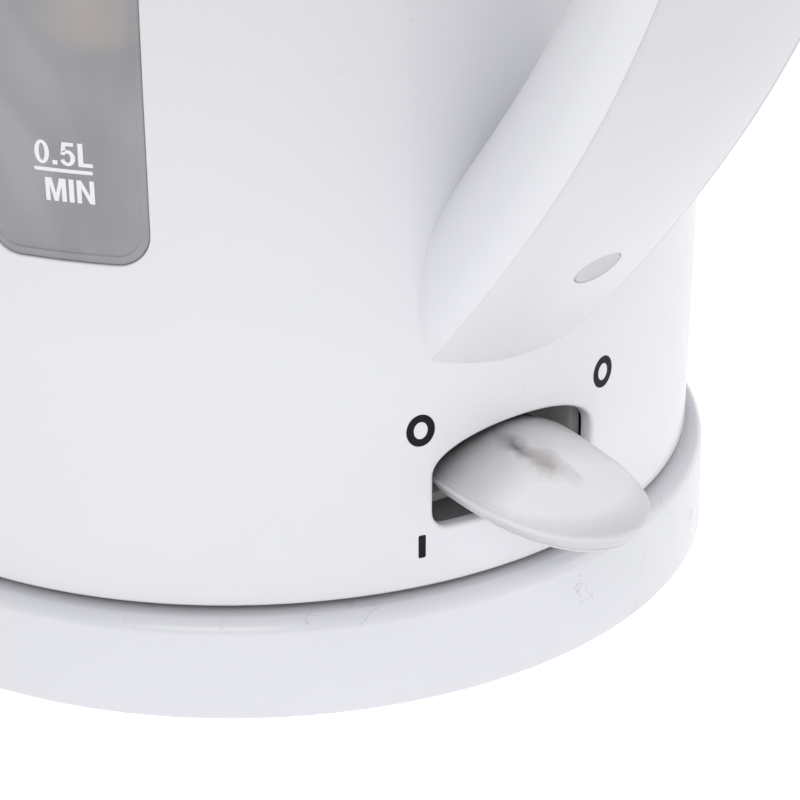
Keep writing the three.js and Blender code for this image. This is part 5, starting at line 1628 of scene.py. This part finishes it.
@dataclass
class Underside:
    """The jug's underside and the round pieces of its heater and socket."""

    palette: Palette

    def build_cover(self) -> None:
        """The underside plate with its foot ring and the socket's collar."""
        profile = softened(np.array([[21.5, 21.0], [60, 21.0], [60, 17.1], [66, 17.1], [66, 21.0], [73.6, 21.0],
                                     [73.6, 23.0], [23.7, 23.0], [23.7, 32.5], [21.5, 32.5]]), 0.6)
        self.palette.rider("jug", Finish.inner_white).add("jug_underside", turned(profile, 240, loop=True),
                                                          ("jug_cover",), 40)
        heads = self.palette.rider("jug", Finish.steel_bright)
        for number in range(1, 4):
            at = centre_of(f"cover_screw_{number}")
            heads.add(f"underside_screw_{number}", PowerBase.screw_head(at, 19.6), (f"cover_screw_{number}",), 45)

    def build_socket(self) -> None:
        """The control's body, the earth pin and the two contact rings."""
        body = softened(np.array([[0, 33.5], [23, 33.5], [23, 44], [20, 45], [20, 50], [0, 50]]), 0.8, loop=False)
        self.palette.rider("jug", Finish.black_plastic).add("control_housing", turned(body, 128), ("control_body",),
                                                            40)
        brass = self.palette.rider("jug", Finish.brass_contacts)
        pin = path((0, 18.5), (0.8, 18.6), (1.5, 19.0), (2.1, 19.8), (2.6, 21.2), (2.6, 33.2), (0, 33.2))
        brass.add("earth_post", turned(pin, 64), ("earth_pin",), 40)
        for name, middle in (("inner", 7.5), ("outer", 12.2)):
            ring = softened(np.array([[middle - 0.6, 22], [middle + 0.6, 22], [middle + 0.6, 33.2],
                                      [middle - 0.6, 33.2]]),
                            0.35)
            brass.add(f"ring_contact_{name}", turned(ring, 96, loop=True), (f"contact_ring_{name}",), 40)

    def build_heater(self) -> None:
        """The steel heater plate with a pressed groove, and its silicone gasket."""
        tube_gap = 4.3
        profile = path((0, 62.5), (71, 62.5), (71, 63.4), (70.7, 63.7), (67, 63.7), (65.5, 62.9), (64, 62.9),
                       (62.5, 63.7),
                       (30, 63.75), (0, 63.7))
        self.palette.rider("jug", Finish.steel_brushed).add("heater_disc", turned(profile, 192), ("heater_plate",),
                                                            40)
        seal = softened(np.array([[70.5, 60.3], [75.1, 60.3], [75.1, 65.0], [71.3, 65.0], [71.3, 62.2],
                                  [70.5, 62.2]]), 0.5)
        self.palette.rider("jug", Finish.silicone_seal).add("heater_seal", turned(seal, 192, loop=True),
                                                            ("plate_gasket",), 40)
        at = centre_of("steam_tube")
        tube = softened(np.array([[2.8, 52.0], [4.0, 52.0], [4.0, 186.0], [2.8, 186.0]]), 0.3)
        self.palette.rider("jug", Finish.inner_white).add("steam_pipe", turned(tube, 64, loop=True, at=at),
                                                          ("steam_tube",), 40)
        collar = softened(np.array([[tube_gap - 0.3, 63.6], [tube_gap + 2.0, 63.6], [tube_gap + 1.4, 66.0],
                                    [tube_gap - 0.3, 66.4]]), 0.4)
        self.palette.rider("jug", Finish.silicone_seal).add("steam_pipe_collar", turned(collar, 64, loop=True, at=at))

    def build(self) -> None:
        """Builds the underside's pieces."""
        self.build_cover()
        self.build_socket()
        self.build_heater()


# ------------------------------------------------------------------------------------------ stage, light, camera
@dataclass
class Studio:
    """A plain pale floor, a pale surround, soft lights and the camera.

    Each panel is a name, a place in metres, a side in metres and a power in watts.
    """

    camera_place: tuple[float, float, float] = (479.366, -313.545, 285.584)
    right: tuple[float, float, float] = (0.589344, 0.807790, -0.012209)
    up: tuple[float, float, float] = (-0.333325, 0.256896, 0.907138)
    forward: tuple[float, float, float] = (-0.735913, 0.530547, -0.420657)
    lens: float = 157.946
    panels: tuple[tuple[str, tuple[float, float, float], float, float], ...] = (
        ("overhead", (0.1, 0.0, 1.6), 1.6, 2.8), ("front_panel", (0.87, -0.89, 0.86), 0.8, 5.4),
        ("right_panel", (0.72, 1.3, 0.45), 0.9, 4.2))
    surround: float = 0.45
    floor_half: float = 6.0
    floor_glow: float = 0.45

    def build_camera(self) -> None:
        """The camera: a long lens close above the handle side."""
        camera = bpy.data.cameras.new("camera")
        camera.lens, camera.sensor_width, camera.clip_start, camera.clip_end = self.lens, 36.0, 0.05, 50.0
        holder = bpy.data.objects.new("camera", camera)
        turn = Matrix((self.right, self.up, tuple(-part for part in self.forward))).transposed()
        holder.matrix_world = Matrix.Translation(Vector(self.camera_place) * MM) @ turn.to_4x4()
        bpy.context.scene.collection.objects.link(holder)
        bpy.context.scene.camera = holder

    def build_floor(self) -> None:
        """A broad pale floor at the height of the feet."""
        mesh = bpy.data.meshes.new("floor")
        size = self.floor_half
        mesh.from_pydata([(-size, -size, 0), (size, -size, 0), (size, size, 0), (-size, size, 0)], [], [(0, 1, 2, 3)])
        floor = bpy.data.objects.new("floor", mesh)
        material, nodes, shader = start_material("pale_floor", Roughness=0.9, Emission_Strength=self.floor_glow,
                                                 Emission_Color=(1, 1, 1, 1))
        cloud = nodes.noise(object_place(nodes), 3.0, 2.0)
        nodes.put(shader, "Base Color", nodes.mix(cloud, (0.93, 0.93, 0.935, 1), (0.95, 0.95, 0.95, 1)))
        mesh.materials.append(material)
        bpy.context.scene.collection.objects.link(floor)

    def build_light(self) -> None:
        """A pale surround and three soft panels: overhead, from the front left and from the right."""
        world = bpy.data.worlds.new("studio")
        world.use_nodes = True
        world.node_tree.nodes["Background"].inputs[0].default_value = (0.97, 0.98, 1.0, 1)
        world.node_tree.nodes["Background"].inputs[1].default_value = self.surround
        bpy.context.scene.world = world
        for name, place, size, power in self.panels:
            light = bpy.data.lights.new(name, "AREA")
            light.shape, light.size, light.energy = "SQUARE", size, power
            holder = bpy.data.objects.new(name, light)
            holder.location = place
            holder.rotation_mode = "QUATERNION"
            holder.rotation_quaternion = (Vector((0, 0, 0.1)) - Vector(place)).to_track_quat("-Z", "Y")
            bpy.context.scene.collection.objects.link(holder)

    def build(self) -> None:
        """Builds the stage."""
        self.build_camera()
        self.build_floor()
        self.build_light()
        bpy.context.scene.view_settings.view_transform = "Standard"


def main() -> None:
    """Builds the kettle's pieces round the frame, one sub-assembly after another."""
    logging.basicConfig(level=logging.INFO, format="%(name)s: %(message)s")
    palette = Palette()
    palette.dress_frame()
    Studio().build()
    for part in (PowerBase(palette), Underside(palette), Jug(palette), Handle(palette), Lever(palette), Lid(palette)):
        LOG.info("building %s", type(part).__name__)
        part.build()


if __name__ == "__main__":
    main()
